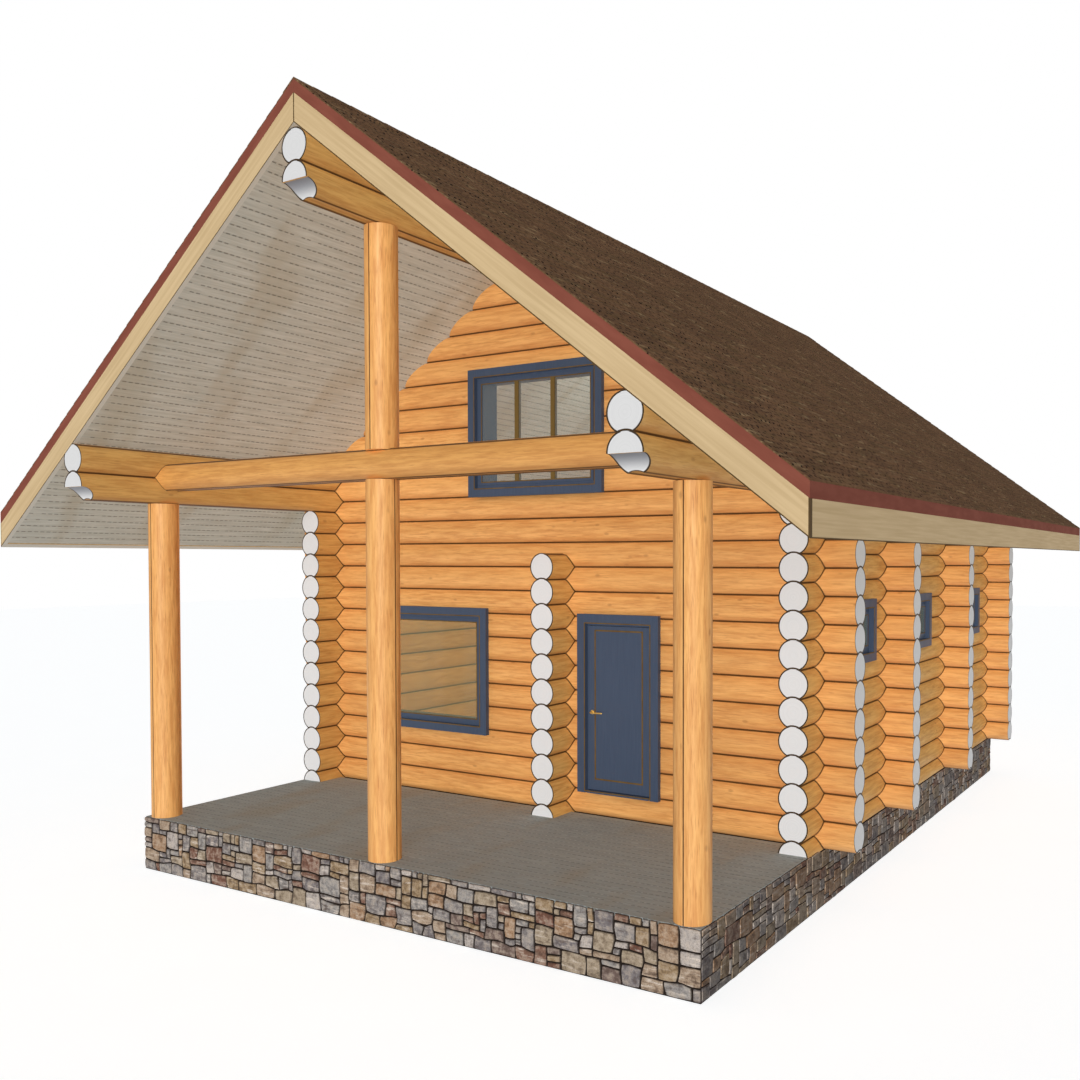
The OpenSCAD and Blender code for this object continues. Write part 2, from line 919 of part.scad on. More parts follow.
module door_leaf() {
    color("slategray") at_door() {
        difference() {
            span([-leaf_half, leaf_front, leaf_foot], [leaf_half, leaf_back, leaf_head]);
            difference() {
                panel_block(0, leaf_front - cut, leaf_front + moulding_depth);
                panel_block(moulding_w, leaf_front - 2 * cut, leaf_front + cut);
            }
            y_rod(leaf_front - cut, leaf_back + cut, lever_x, lever_z, spindle_r + pin_gap, pin_fn);
        }
        for (y = [leaf_front - fit - rose_t, leaf_back + fit])
            difference() {
                y_rod(y, y + rose_t, lever_x, lever_z, rose_r, pin_fn);
                y_rod(y - cut, y + rose_t + cut, lever_x, lever_z, spindle_r + pin_gap, pin_fn);
            }
        for (z = hinge_zs)
            hinge_leaf_half(z);
    }
}

// Spindle with a grip on each side of the leaf
module door_lever() {
    out_y = leaf_front - lever_reach;
    in_y = leaf_back + lever_reach;
    color("gold") at_door() {
        y_rod(out_y, in_y, lever_x, lever_z, spindle_r, pin_fn);
        for (y = [out_y, in_y])
            translate([lever_x, y, lever_z]) {
                sphere(r = grip_r, $fn = pin_fn);
                rotate([0, 90, 0]) cylinder(r = grip_r, h = lever_grip, $fn = pin_fn);
                translate([lever_grip, 0, 0]) sphere(r = grip_r, $fn = pin_fn);
            }
    }
}

plinth_front();
plinth_left();
plinth_right();
plinth_back();
plinth_strips();
porch_deck();
ground_floor();
left_wall();
right_wall();
front_sill_log();
front_wall_left();
front_wall_right();
front_wall_over_door();
front_gable();
back_wall();
back_gable();
long_partition();
front_partition();
back_partition();
side_purlins();
ridge_purlins();
tie_beam();
king_post();
left_post();
middle_post();
right_post();
rafters();
soffit_left();
soffit_right();
roof_deck_left();
roof_deck_right();
shingles_left();
shingles_right();
rake_boards();
eave_boards();
roof_edge_trim();
door_frame();
door_leaf();
door_lever();
window_frames();
window_sashes();
window_glass();
attic_joists();
attic_floor();
inner_door_linings();
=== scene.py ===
# %% [markdown]
# # Finishing a log bathhouse in Blender
#
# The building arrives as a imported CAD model: logs, stone plinth, porch, roof
# and joinery, each a named object in metres. What is missing is its surface:
# laid stone, boards, shingles, grain, paint and glass. The CAD objects stay
# where they are, and every new piece is worked out as whole arrays of points.

# %% Load the building
import math

import bpy
import numpy as np
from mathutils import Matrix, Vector


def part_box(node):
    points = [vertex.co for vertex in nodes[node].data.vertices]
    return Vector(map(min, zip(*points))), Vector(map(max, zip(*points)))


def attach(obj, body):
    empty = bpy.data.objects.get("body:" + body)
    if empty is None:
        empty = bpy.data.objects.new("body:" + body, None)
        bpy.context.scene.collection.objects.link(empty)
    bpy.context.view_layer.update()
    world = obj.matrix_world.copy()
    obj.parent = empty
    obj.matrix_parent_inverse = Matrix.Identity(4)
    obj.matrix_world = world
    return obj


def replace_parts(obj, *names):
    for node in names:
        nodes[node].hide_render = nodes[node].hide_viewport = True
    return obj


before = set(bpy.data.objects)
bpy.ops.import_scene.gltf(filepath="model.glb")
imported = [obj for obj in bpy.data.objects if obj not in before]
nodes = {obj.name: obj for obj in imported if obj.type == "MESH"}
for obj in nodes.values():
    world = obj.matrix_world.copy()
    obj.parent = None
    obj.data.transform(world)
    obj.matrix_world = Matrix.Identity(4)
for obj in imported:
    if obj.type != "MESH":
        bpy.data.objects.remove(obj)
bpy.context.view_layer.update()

scene = bpy.context.scene


# %% [markdown]
# ## Where the building stands
#
# A log house is set out from a few lines: plinth, courses and pitch. Grain,
# rings and joints have to fall on the real logs, so most of these lines are
# read from the boxes of the CAD nodes.

# %% The lines that the building is set out from
PLINTH_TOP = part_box("plinth_left")[1].z
DECK_LOW, DECK_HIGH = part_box("porch_deck")
LOG_RADIUS = (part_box("left_wall")[1].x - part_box("left_wall")[0].x) / 2
COURSE = 0.25
ROOF_TOP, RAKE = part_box("shingles_right")[1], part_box("rake_boards")[1].y
SOFFIT_LOW, SOFFIT_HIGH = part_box("soffit_right")
SOFFIT_APEX = 6.4317
SLOPE = (SOFFIT_APEX - SOFFIT_LOW.z) / SOFFIT_HIGH.x
PITCH = math.atan(SLOPE)
print("slope", round(SLOPE, 4), "pitch in degrees", round(math.degrees(PITCH), 2))


def wall_axis(node, axis):
    """The middle of a node's box along one axis."""
    low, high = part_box(node)
    return (low[axis] + high[axis]) / 2


FRONT_Y, BACK_Y = wall_axis("front_gable", 1), wall_axis("back_gable", 1)
LEFT_X, RIGHT_X = wall_axis("left_wall", 0), wall_axis("right_wall", 0)
X_LOG_WALLS = [(wall_axis(n, 1), None) for n in
               ("tie_beam", "front_gable", "front_partition", "back_partition", "back_gable")]
Y_LOG_WALLS = [(wall_axis(n, 0), None) for n in
               ("left_wall", "ridge_purlins", "long_partition", "right_wall")]
for axis, walls in (("X", X_LOG_WALLS), ("Y", Y_LOG_WALLS)):
    print("walls along", axis, "at", [round(place, 3) for place, _ in walls])


# %% [markdown]
# ## Camera
#
# The camera stands in front of the right corner, as high as someone on a step
# ladder. The lens shift only keeps the building in the frame.

# %% Camera
camera = bpy.data.objects.new("camera", bpy.data.cameras.new("camera"))
scene.collection.objects.link(camera)
camera.location = (6.3945, -10.6995, 3.0819)
line_of_sight = Vector((-0.49915, 0.86615, -0.02361))
camera.rotation_euler = line_of_sight.to_track_quat("-Z", "Y").to_euler()
camera.data.sensor_width = 36
camera.data.lens = 34.01
camera.data.shift_x = -0.1137
camera.data.shift_y = 0.0402
camera.data.clip_end = 500
scene.camera = camera
scene.view_settings.view_transform = "Standard"
print("lens", camera.data.lens, "mm")


# %% [markdown]
# ## One class for the sums in a finish
#
# Wiring a graph of shader nodes by hand hides its arithmetic, so a small class
# wraps a socket and takes over the usual signs: `mask * 0.5 + tone` adds its
# own Math nodes. Colours and vectors go through Mix and Vector Math instead.

# %% Signals and finishes
def sign(operation):
    """A method that adds one Math node, with the signal first and the other number second."""
    return lambda signal, other: signal.finish.math(operation, signal, other)


class Signal:
    """A socket that carries a number. Signs between signals and numbers add Math nodes."""

    def __init__(self, finish, socket):
        self.finish = finish
        self.socket = socket

    __add__, __sub__ = sign("ADD"), sign("SUBTRACT")
    __mul__, __truediv__ = sign("MULTIPLY"), sign("DIVIDE")
    __gt__, __lt__ = sign("GREATER_THAN"), sign("LESS_THAN")
    larger, smaller = sign("MAXIMUM"), sign("MINIMUM")

    def __abs__(self):
        return self.math("ABSOLUTE")

    def math(self, operation):
        """A Math node with this signal alone."""
        return self.finish.math(operation, self)


def paint(red, green, blue):
    """A colour of 0 to 255, as on a colour card, in the linear light that shaders use."""
    card = np.array([red, green, blue]) / 255
    linear = np.where(card < 0.04045, card / 12.92, ((card + 0.055) / 1.055) ** 2.4)
    return (*linear.tolist(), 1.0)


def set_stops(ramp, stops):
    """Fills a colour ramp with pairs of place and colour, with hard steps between them."""
    ramp.interpolation = "CONSTANT"
    for _ in stops[2:]:
        ramp.elements.new(0.5)
    for element, stop in zip(ramp.elements, stops):
        element.position, element.color = stop


class Finish:
    """A material being built round one Principled shader."""

    def __init__(self, name, **constants):
        self.material = bpy.data.materials.new(name)
        self.material.use_nodes = True
        self.tree = self.material.node_tree
        self.shader = next(n for n in self.tree.nodes if n.type == "BSDF_PRINCIPLED")
        for socket, value in constants.items():
            self.shader.inputs[socket.replace("_", " ")].default_value = value

    def node(self, kind, settings=(), sockets=()):
        """Adds a node: its settings, then its sockets' values or links. Gives back its outputs."""
        made = self.tree.nodes.new("ShaderNode" + kind)
        for name, value in dict(settings).items():
            if name == "stops":
                set_stops(made.color_ramp, value)
            else:
                setattr(made, name, value)
        for name, value in dict(sockets).items():
            if isinstance(value, Signal):
                self.tree.links.new(value.socket, made.inputs[name])
            else:
                made.inputs[name].default_value = value
        return [Signal(self, socket) for socket in made.outputs]

    def feed(self, socket, signal):
        """Links a signal to one socket of the shader."""
        self.tree.links.new(signal.socket, self.shader.inputs[socket])

    def math(self, operation, *values):
        return self.node("Math", {"operation": operation}, enumerate(values))[0]

    def place(self):
        """The point on the piece, in metres."""
        return self.node("TexCoord")[3]

    def parts(self):
        """The place along X, Y and Z."""
        return self.node("SeparateXYZ", (), {0: self.place()})

    def facing(self):
        """The parts of the direction that the surface faces."""
        return self.node("SeparateXYZ", (), {0: self.node("TexCoord")[1]})

    def join(self, *numbers):
        return self.node("CombineXYZ", (), enumerate(numbers))[0]

    def stretch(self, vector, factors):
        """Multiplies a vector by three factors, which makes a pattern longer one way."""
        return self.node("VectorMath", {"operation": "MULTIPLY"}, {0: vector, 1: factors})[0]

    def noise(self, vector=None, scale=1.0, detail=3.0, roughness=0.5):
        return self.node("TexNoise", (), {"Vector": vector or self.place(), "Scale": scale,
                                          "Detail": detail, "Roughness": roughness})[0]

    def streaks(self, across, lengthwise, axis, detail=3.0, roughness=0.5):
        """Noise drawn out along an axis: so many waves a metre across it and along it."""
        factors = [across] * 3
        factors[axis] = lengthwise
        return self.noise(self.stretch(self.place(), factors), detail=detail, roughness=roughness)

    def spots(self, vector, scale, randomness=1.0, settings=()):
        """The distance from the nearest of many scattered points, in their spacing."""
        return self.node("TexVoronoi", settings, {
            "Vector": vector, "Scale": scale, "Randomness": randomness})[0]

    def random(self, vector):
        """A number from 0 to 1 that is the same for the same whole numbers."""
        return self.node("TexWhiteNoise", (), {0: vector})[0]

    def step(self, value, low, high, start=0.0, end=1.0):
        """Rises smoothly from start to end as value goes from low to high."""
        return self.node("MapRange", {"interpolation_type": "SMOOTHSTEP"},
                         enumerate((value, low, high, start, end)))[0]

    def ramp(self, value, stops):
        return self.node("ValToRGB", {"stops": stops}, {0: value})[0]

    def coats(self, colour, *coats):
        """Lays coats over a colour. Each is a mask and the colour that shows where the mask is 1."""
        for mask, coat in coats:
            colour = self.node("Mix", {"data_type": "RGBA"}, {0: mask, 6: colour, 7: coat})[2]
        return colour

    def dress(self, colour, *coats):
        """Feeds Base Color with a colour and the coats over it."""
        self.feed("Base Color", self.coats(colour, *coats))

    def cover(self, *coats):
        """Lays more coats over what already feeds Base Color."""
        self.dress(Signal(self, self.shader.inputs["Base Color"].links[0].from_socket), *coats)

    def tone(self, name):
        """A number that each stone, board or tab carries in its mesh."""
        return self.node("Attribute", {"attribute_name": name})[2]

    def bump(self, height, distance):
        """Lets a height of 0 to 1, times a distance in metres, turn the light."""
        self.feed("Normal", self.node("Bump", (), {"Height": height, "Distance": distance})[0])


def wear(finish, *names):
    """Gives CAD nodes a finish."""
    for name in names:
        nodes[name].data.materials.clear()
        nodes[name].data.materials.append(finish.material)


# %% [markdown]
# ## Studio
#
# The light is flat and comes from where the viewer stands, so that round things
# darken towards their edges. A white sky gives a third of it. A shadowless sun
# low in front adds most of the rest and reaches under the roof. A weak sun with
# shadows sets things on the floor, one from below lifts the soffit, and one
# from behind keeps the back from going dull. Two soft lamps show the rooms.

# %% Sky, sun, floor and lamps
SKY_LIGHT = 0.26
scene.world = bpy.data.worlds.new("sky")
scene.world.use_nodes = True
sky = scene.world.node_tree
background = sky.nodes["Background"]
background.inputs["Color"].default_value = (1, 1, 1, 1)
seen = sky.nodes.new("ShaderNodeLightPath")
strength = sky.nodes.new("ShaderNodeMapRange")
sky.links.new(seen.outputs["Is Camera Ray"], strength.inputs["Value"])
strength.inputs["To Min"].default_value = SKY_LIGHT
sky.links.new(strength.outputs["Result"], background.inputs["Strength"])


def lamp(name, kind, place, energy, size, shadow=True, colour=(1, 1, 1)):
    """A soft light, turned towards the middle of the building. The size of a sun is in degrees."""
    data = bpy.data.lights.new(name, kind)
    data.energy = energy
    data.use_shadow = shadow
    data.color = colour
    if kind == "SUN":
        data.angle = math.radians(size)
    else:
        data.shadow_soft_size = size
    made = bpy.data.objects.new(name, data)
    scene.collection.objects.link(made)
    made.location = place
    made.rotation_euler = (-Vector(place)).to_track_quat("-Z", "Y").to_euler()
    return made


lamp("key", "SUN", (4.4, -8.8, 2.6), 0.45, 22)
lamp("fill", "SUN", (4.4, -8.8, 1.8), 2.09, 5, shadow=False)
lamp("uplight", "SUN", (0.3, -1.5, -8.0), 0.95, 5, shadow=False)
lamp("back_fill", "SUN", (-4.5, 8.9, 0.6), 1.8, 5, shadow=False).visible_glossy = False
lamp("attic_lamp", "POINT", (0, 1.0, 4.6), 38, 0.25, colour=(0.70, 0.94, 1.0))
lamp("room_lamp", "POINT", (-0.9, -1.1, 2.4), 26, 0.25, colour=(0.95, 1.0, 0.85))

FLOOR_HALF = 60
floor_corners = np.array([(-1, -1, 0), (1, -1, 0), (1, 1, 0), (-1, 1, 0)]) * FLOOR_HALF
floor_mesh = bpy.data.meshes.new("floor")
floor_mesh.from_pydata(floor_corners.tolist(), [], [(0, 1, 2, 3)])
floor = bpy.data.objects.new("floor", floor_mesh)
scene.collection.objects.link(floor)
pale = Finish("pale_floor", Roughness=0.95, Specular_IOR_Level=0.1,
              Emission_Color=(0.985, 0.995, 1, 1), Emission_Strength=0.71)
floor_tone = pale.noise(scale=1.5, detail=2)
pale.dress(paint(202, 204, 206), (floor_tone, paint(207, 209, 211)))
floor_mesh.materials.append(pale.material)
floor.visible_diffuse = False


# %% [markdown]
# ## Round logs
#
# Turned logs show fine streaks, a few knots, and a dark line where the next log
# lies in its groove and where two walls cross. The ends were painted pale
# against splitting, with the dark sapwood as a thin rim. A face that looks
# along the log has been cut, so the finish finds the ends by the direction of
# the surface. The grain is worked out from the place in space, so it runs
# through notches without a seam.

# %% The finish of the logs
# the side walls' logs are painted darker and less red than the front logs, as painted shade
SIDE_PAINTED_SHADE_TONES = paint(222, 176, 102), paint(194, 142, 75), paint(164, 111, 54)
FRONT_SHADES = paint(238, 178, 106), paint(208, 144, 78), paint(174, 112, 55)
# the tie beam's logs are painted darker than the front logs, as painted shade
BEAM_PAINTED_SHADE_TONES = paint(226, 166, 92), paint(194, 132, 66), paint(160, 100, 46)
# the posts are painted lighter than the wall logs, as painted light
POST_PAINTED_LIGHT_TONES = paint(246, 185, 110), paint(219, 152, 83), paint(184, 116, 57)
LOG_JOINT = paint(84, 52, 16)
LOG_PAINTED_SHADE = paint(146, 88, 38)
KNOT = paint(132, 78, 36)
END_PALE = paint(221, 221, 221)
END_GREY = paint(209, 209, 209)
END_PAINTED_SHADE = paint(120, 122, 130)
END_RIM = paint(52, 36, 14)
WALL_CELL = 0.9
NOTCH_RADIUS, GROOVE_RADIUS = LOG_RADIUS + 0.004, LOG_RADIUS - 0.0015
PAINTED_SHADE_BAND, JOINT_BAND = (-0.045, -0.125), (0.1145, 0.1185)
NOTCH_BAND, GROOVE_BAND = (0.0070, 0.0045), (0.0085, 0.0060)
RIM_BAND, END_BAND = (0.1265, 0.1295), (0.10, 0.16)


def nearest_course(height, first_axis):
    """The number of the log whose axis is nearest in height, and the height over that axis."""
    course = (height - first_axis) / COURSE + 0.5
    number = course.math("FLOOR")
    return number, (course - number - 0.5) * COURSE


def nearest(place, marks, parts=()):
    """The distance to the nearest mark. A limit is an axis, a factor and a most: where the place along
    that axis times the factor is over the most, the mark is a metre further off."""
    best = None
    for mark, limit in marks:
        distance = abs(place - mark)
        if limit:
            axis, factor, most = limit
            distance = distance + (parts[axis] * factor > most)
        best = best.smaller(distance) if best else distance
    return best


def reach(across, height):
    """The distance from an axis: the root of across squared plus height squared."""
    return (across * across + height * height).math("SQRT")


def log_finish(name, along, shades, walls=(), first_axis=0.0, crossing=(), crossing_first=0.0):
    """Logs along axis number `along`, in a wall whose lowest axis is at height `first_axis`. A joint
    lies half a course from the nearest axis. A rim lies where the distance from a log's own axis, or
    from that of the log below, nears the radius, and a notch line lies so round the crossing axes.
    `walls` and `crossing` are pairs of place and limit."""
    pale, warm, streak = shades
    finish = Finish(name, Roughness=0.55, Specular_IOR_Level=0.35)
    step, parts, facing = finish.step, finish.parts(), finish.facing()
    fine = finish.streaks(34.0, 3.0, along, detail=5, roughness=0.62)
    broad = finish.streaks(7.0, 0.8, along, detail=2)
    hairline = finish.streaks(120.0, 7.0, along, detail=2)
    knots = finish.spots(finish.stretch(finish.place(), [3.2 if i == along else 6.5 for i in range(3)]), 1.0)
    wood = finish.coats(warm, (step(fine, 0.30, 0.68), pale), (step(hairline, 0.54, 0.74) * 0.55, streak),
                        (step(broad, 0.35, 0.75) * 0.16, streak), (step(knots, 0.13, 0.04) * 0.4, KNOT))
    if walls:
        across = parts[1 - along]
        number, height = nearest_course(parts[2], first_axis)
        wall = (across / WALL_CELL).math("ROUND")
        paler, darker = (finish.random(finish.join(number, wall, seed)) for seed in (3.0, 8.0))
        cross_height = nearest_course(parts[2], crossing_first)[1]
        notch = abs(reach(nearest(parts[along], crossing, parts), cross_height) - NOTCH_RADIUS)
        # the third coat here is painted shade: each log is darker over its lower part, as if lit from above
        wood = finish.coats(wood, (paler * 0.24, pale), ((darker - 0.5).larger(0.0) * 0.34, streak),
                            (step(height, *PAINTED_SHADE_BAND) * 0.34, LOG_PAINTED_SHADE),
                            (step(abs(height), *JOINT_BAND) * 0.92, LOG_JOINT),
                            (step(notch, *NOTCH_BAND) * 0.9, LOG_JOINT))
        near = nearest(across, walls)
        own = reach(near, height)
        rings = finish.noise(finish.join(own * 95.0, 0.0, number), detail=1)
        groove = abs(reach(near, height + COURSE) - GROOVE_RADIUS)
        rim = step(own, *RIM_BAND).larger(step(groove, *GROOVE_BAND))
        # cut faces that look down are darkened as painted shade
        end = finish.coats(END_PALE, (step(rings, 0.35, 0.65) * 0.35, END_GREY),
                           (step(facing[2], -0.15, -0.95) * 0.85, END_PAINTED_SHADE), (rim, END_RIM))
        wood = finish.coats(wood, (step(abs(facing[along]), *END_BAND), end))
    finish.dress(wood)
    finish.feed("Roughness", finish.step(fine, 0.2, 0.8, 0.62, 0.46))
    finish.bump(fine + hairline * 0.5, 0.0011)
    return finish


FIRST_X_AXIS, FIRST_Y_AXIS = PLINTH_TOP + COURSE / 2, PLINTH_TOP
partition_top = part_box("long_partition")[1].z - (LOG_RADIUS - COURSE / 2)
partition_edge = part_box("long_partition")[0].x
y_crossings = [(LEFT_X, None), (RIGHT_X, None),
               (wall_axis("long_partition", 0), (2, 1, partition_top))]
x_crossings = [(FRONT_Y, None), (BACK_Y, None)]
x_crossings += [(wall_axis(n, 1), (0, -1, -partition_edge)) for n in ("front_partition", "back_partition")]
x_lines = X_LOG_WALLS, FIRST_X_AXIS, y_crossings, FIRST_Y_AXIS
y_lines = Y_LOG_WALLS, FIRST_Y_AXIS, x_crossings, FIRST_X_AXIS
x_logs = log_finish("logs_along_x", 0, FRONT_SHADES, *x_lines)
y_logs = log_finish("logs_along_y", 1, SIDE_PAINTED_SHADE_TONES, *y_lines)
wear(x_logs, "front_sill_log", "front_wall_left", "front_wall_right", "front_wall_over_door",
     "front_gable", "back_wall", "back_gable", "front_partition", "back_partition")
wear(log_finish("tie_beam", 0, BEAM_PAINTED_SHADE_TONES, *x_lines), "tie_beam")
wear(y_logs, "left_wall", "right_wall", "long_partition", "side_purlins", "ridge_purlins")
print("finishes so far:", len(bpy.data.materials))


# %% [markdown]
# ## Posts
#
# A post is a log on end, with a relief cut sawn down one side so that it dries
# without splitting: a dark line down the face that looks to the front, or on
# the middle post down the face towards the door.

# %% The finish of the posts
def post_finish(name, cut_axis, cut_places, side):
    """Logs along Z, with a dark line within five millimetres of the post's axis on one side of it."""
    finish = log_finish(name, 2, POST_PAINTED_LIGHT_TONES)
    parts = finish.parts()
    offset = nearest(parts[cut_axis], [(place, None) for place in cut_places])
    faces = finish.facing()[1 - cut_axis] * side
    finish.cover((finish.step(offset, 0.0062, 0.0040) * (faces > 0.5), LOG_JOINT))
    return finish


front_cut = post_finish("posts_cut_in_front", 0,
                        [wall_axis(n, 0) for n in ("left_post", "king_post", "right_post")], -1)
side_cut = post_finish("post_cut_at_the_side", 1, [wall_axis("middle_post", 1)], 1)
wear(front_cut, "left_post", "right_post", "king_post")
wear(side_cut, "middle_post")


# %% [markdown]
# ## Meshes from arrays
#
# Boards, shingles and rods are closed runs: a section carried from station to
# station and closed at both ends. One function joins such sections for any
# number of pieces at once. It measures the volume inside and turns the faces
# round if that is negative, so they look outwards.

# %% Closed runs, and putting arrays into a mesh
UP = np.array([0.0, 0.0, 1.0])


def enclosed(points, faces):
    """The volume inside: a sixth of the sum of a . (b x c) over the triangles of each face."""
    total = 0.0
    first = points[faces[:, 0]]
    for i in range(1, faces.shape[1] - 1):
        total += np.einsum("ij,ij->", first, np.cross(points[faces[:, i]], points[faces[:, i + 1]]))
    return total / 6


def closed_runs(sections):
    """sections[i, j] is section j of run i, a closed line of points. Quads join neighbouring sections,
    and the first and last section of each run become its end faces."""
    runs, stations, around, _ = sections.shape
    points = sections.reshape(-1, 3)
    index = np.arange(len(points)).reshape(runs, stations, around)
    turned = np.roll(index, -1, axis=2)
    sides = np.stack([index[:, :-1], turned[:, :-1], turned[:, 1:], index[:, 1:]], -1).reshape(-1, 4)
    ends = np.concatenate([index[:, 0, ::-1], index[:, -1]])
    if enclosed(points, sides) + enclosed(points, ends) < 0:
        sides, ends = sides[:, ::-1], ends[:, ::-1]
    return points, [sides, ends]


def make_piece(name, points, face_groups, finish, slot, body="house", smooth=False, tones=None):
    """Puts points and faces into an object at the origin, with its tones, finish and body. The slot is not
    used.
    """
    mesh = bpy.data.meshes.new(name)
    faces = [face for group in face_groups for face in group.tolist()]
    mesh.from_pydata(points.tolist(), [], faces)
    mesh.polygons.foreach_set("use_smooth", [smooth] * len(faces))
    for label, values in (tones or {}).items():
        mesh.attributes.new(label, "FLOAT", "POINT").data.foreach_set("value", np.float32(values))
    mesh.materials.append(finish.material)
    piece = bpy.data.objects.new(name, mesh)
    scene.collection.objects.link(piece)
    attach(piece, body)
    print(name, "faces:", len(faces))
    return piece


def boards(starts, ends, side, up, width, height, ease):
    """Straight boards from starts to ends. The section is width wide along side and height high along
    up from the line, with its four long edges taken off at 45 degrees by ease."""
    half = np.broadcast_to(width, len(starts))[:, None] / 2
    across = half * [-1, 1, 1, 1, 1, -1, -1, -1] + ease * np.array([1, -1, 0, 0, -1, 1, 0, 0])
    above = height * np.array([0, 0, 0, 1, 1, 1, 1, 0]) + ease * np.array([0, 0, 1, -1, 0, 0, -1, 1])
    section = across[..., None] * side + above[:, None] * up
    return np.stack([starts, ends], 1)[:, :, None] + section[:, None]


# %% [markdown]
# ## Fieldstone
#
# The plinth is faced with split fieldstone: squarish stones of a hand's width
# or two, fitted close with thin dark joints. It starts as a mason's puzzle:
# stones of one to four cells are dropped on a grid until it is full. A slow
# random wave, stronger near the ground, then bends the whole grid, so that
# outlines are irregular and yet no two stones meet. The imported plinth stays
# behind them as the dark mortar.

# %% The mason's puzzle
STONE_ROWS = 10
CELL_WIDE, CELL_HIGH = 0.060, PLINTH_TOP / STONE_ROWS
STONE_SIZES = [(3, 2), (2, 2), (4, 2), (3, 3), (2, 1), (4, 3), (3, 1), (2, 3), (4, 1), (1, 1), (1, 2)]
STONE_SHARES = np.array([21, 14, 12, 12, 10, 9, 8, 6, 4, 2, 2]) / 100


def lay_stones(columns, rows, rng):
    """Fills a grid with stones, from the lowest free cell up, with the first drawn size that fits.
    Gives back the left, foot, width and height of each, in cells."""
    taken = np.zeros((rows, columns), bool)
    laid = []
    while not taken.all():
        row, column = np.argwhere(~taken)[0]
        order = rng.choice(len(STONE_SIZES), len(STONE_SIZES), replace=False, p=STONE_SHARES)
        for wide, high in [STONE_SIZES[i] for i in order] + [(1, 1)]:
            spot = taken[row:row + high, column:column + wide]
            if spot.shape == (high, wide) and not spot.any():
                break
        taken[row:row + high, column:column + wide] = True
        laid.append((column, row, wide, high))
    return np.array(laid, float)


def slow_wave(u, v, cell, rng):
    """A smooth random height from -1 to 1: a lattice of random numbers, eased between its points."""
    table = rng.uniform(-1, 1, (64, 256))
    gu, gv = u / cell + 7.3, v / cell + 5.1
    iu, iv = np.floor(gu).astype(int), np.floor(gv).astype(int)
    fu, fv = gu - iu, gv - iv
    fu, fv = fu * fu * (3 - 2 * fu), fv * fv * (3 - 2 * fv)

    def corner(a, b):
        return table[(iv + b) % 64, (iu + a) % 256]

    low = corner(0, 0) * (1 - fu) + corner(1, 0) * fu
    high = corner(0, 1) * (1 - fu) + corner(1, 1) * fu
    return low * (1 - fv) + high * fv


# %% [markdown]
# ### From cells to stones
#
# Six lines of points each way make a stone: the outline lies in the mortar, the
# next line is a few millimetres in at almost the full height, and the face
# between is nearly flat, with a tilt and dents.

# %% Stones as shallow blocks
JOINT, ARRIS, SUNK = 0.0026, 0.0065, 0.004
CREST, TALLER, TILT, DENT = 0.009, 0.007, 0.0025, 0.0012
INNER = 0.36
CORNER_PULL = 0.02, 0.15
LOOSE, FIRMER, LONG_BEND = 0.022, 0.012, 0.010
WAVE, LONG_WAVE = 0.11, 0.28
HOLD_SIDE, HOLD_HEAD, HEAD_STEP = 0.08, 0.05, 0.03
RISE = np.array([0.0, 0.86, 1.0, 1.0, 0.86, 0.0])


def station(half, axis):
    """Six places across a stone: its edges, an arris further in on each side, and two between."""
    inner = half - ARRIS
    return np.concatenate([-half, -inner, -INNER * half, INNER * half, inner, half], axis)


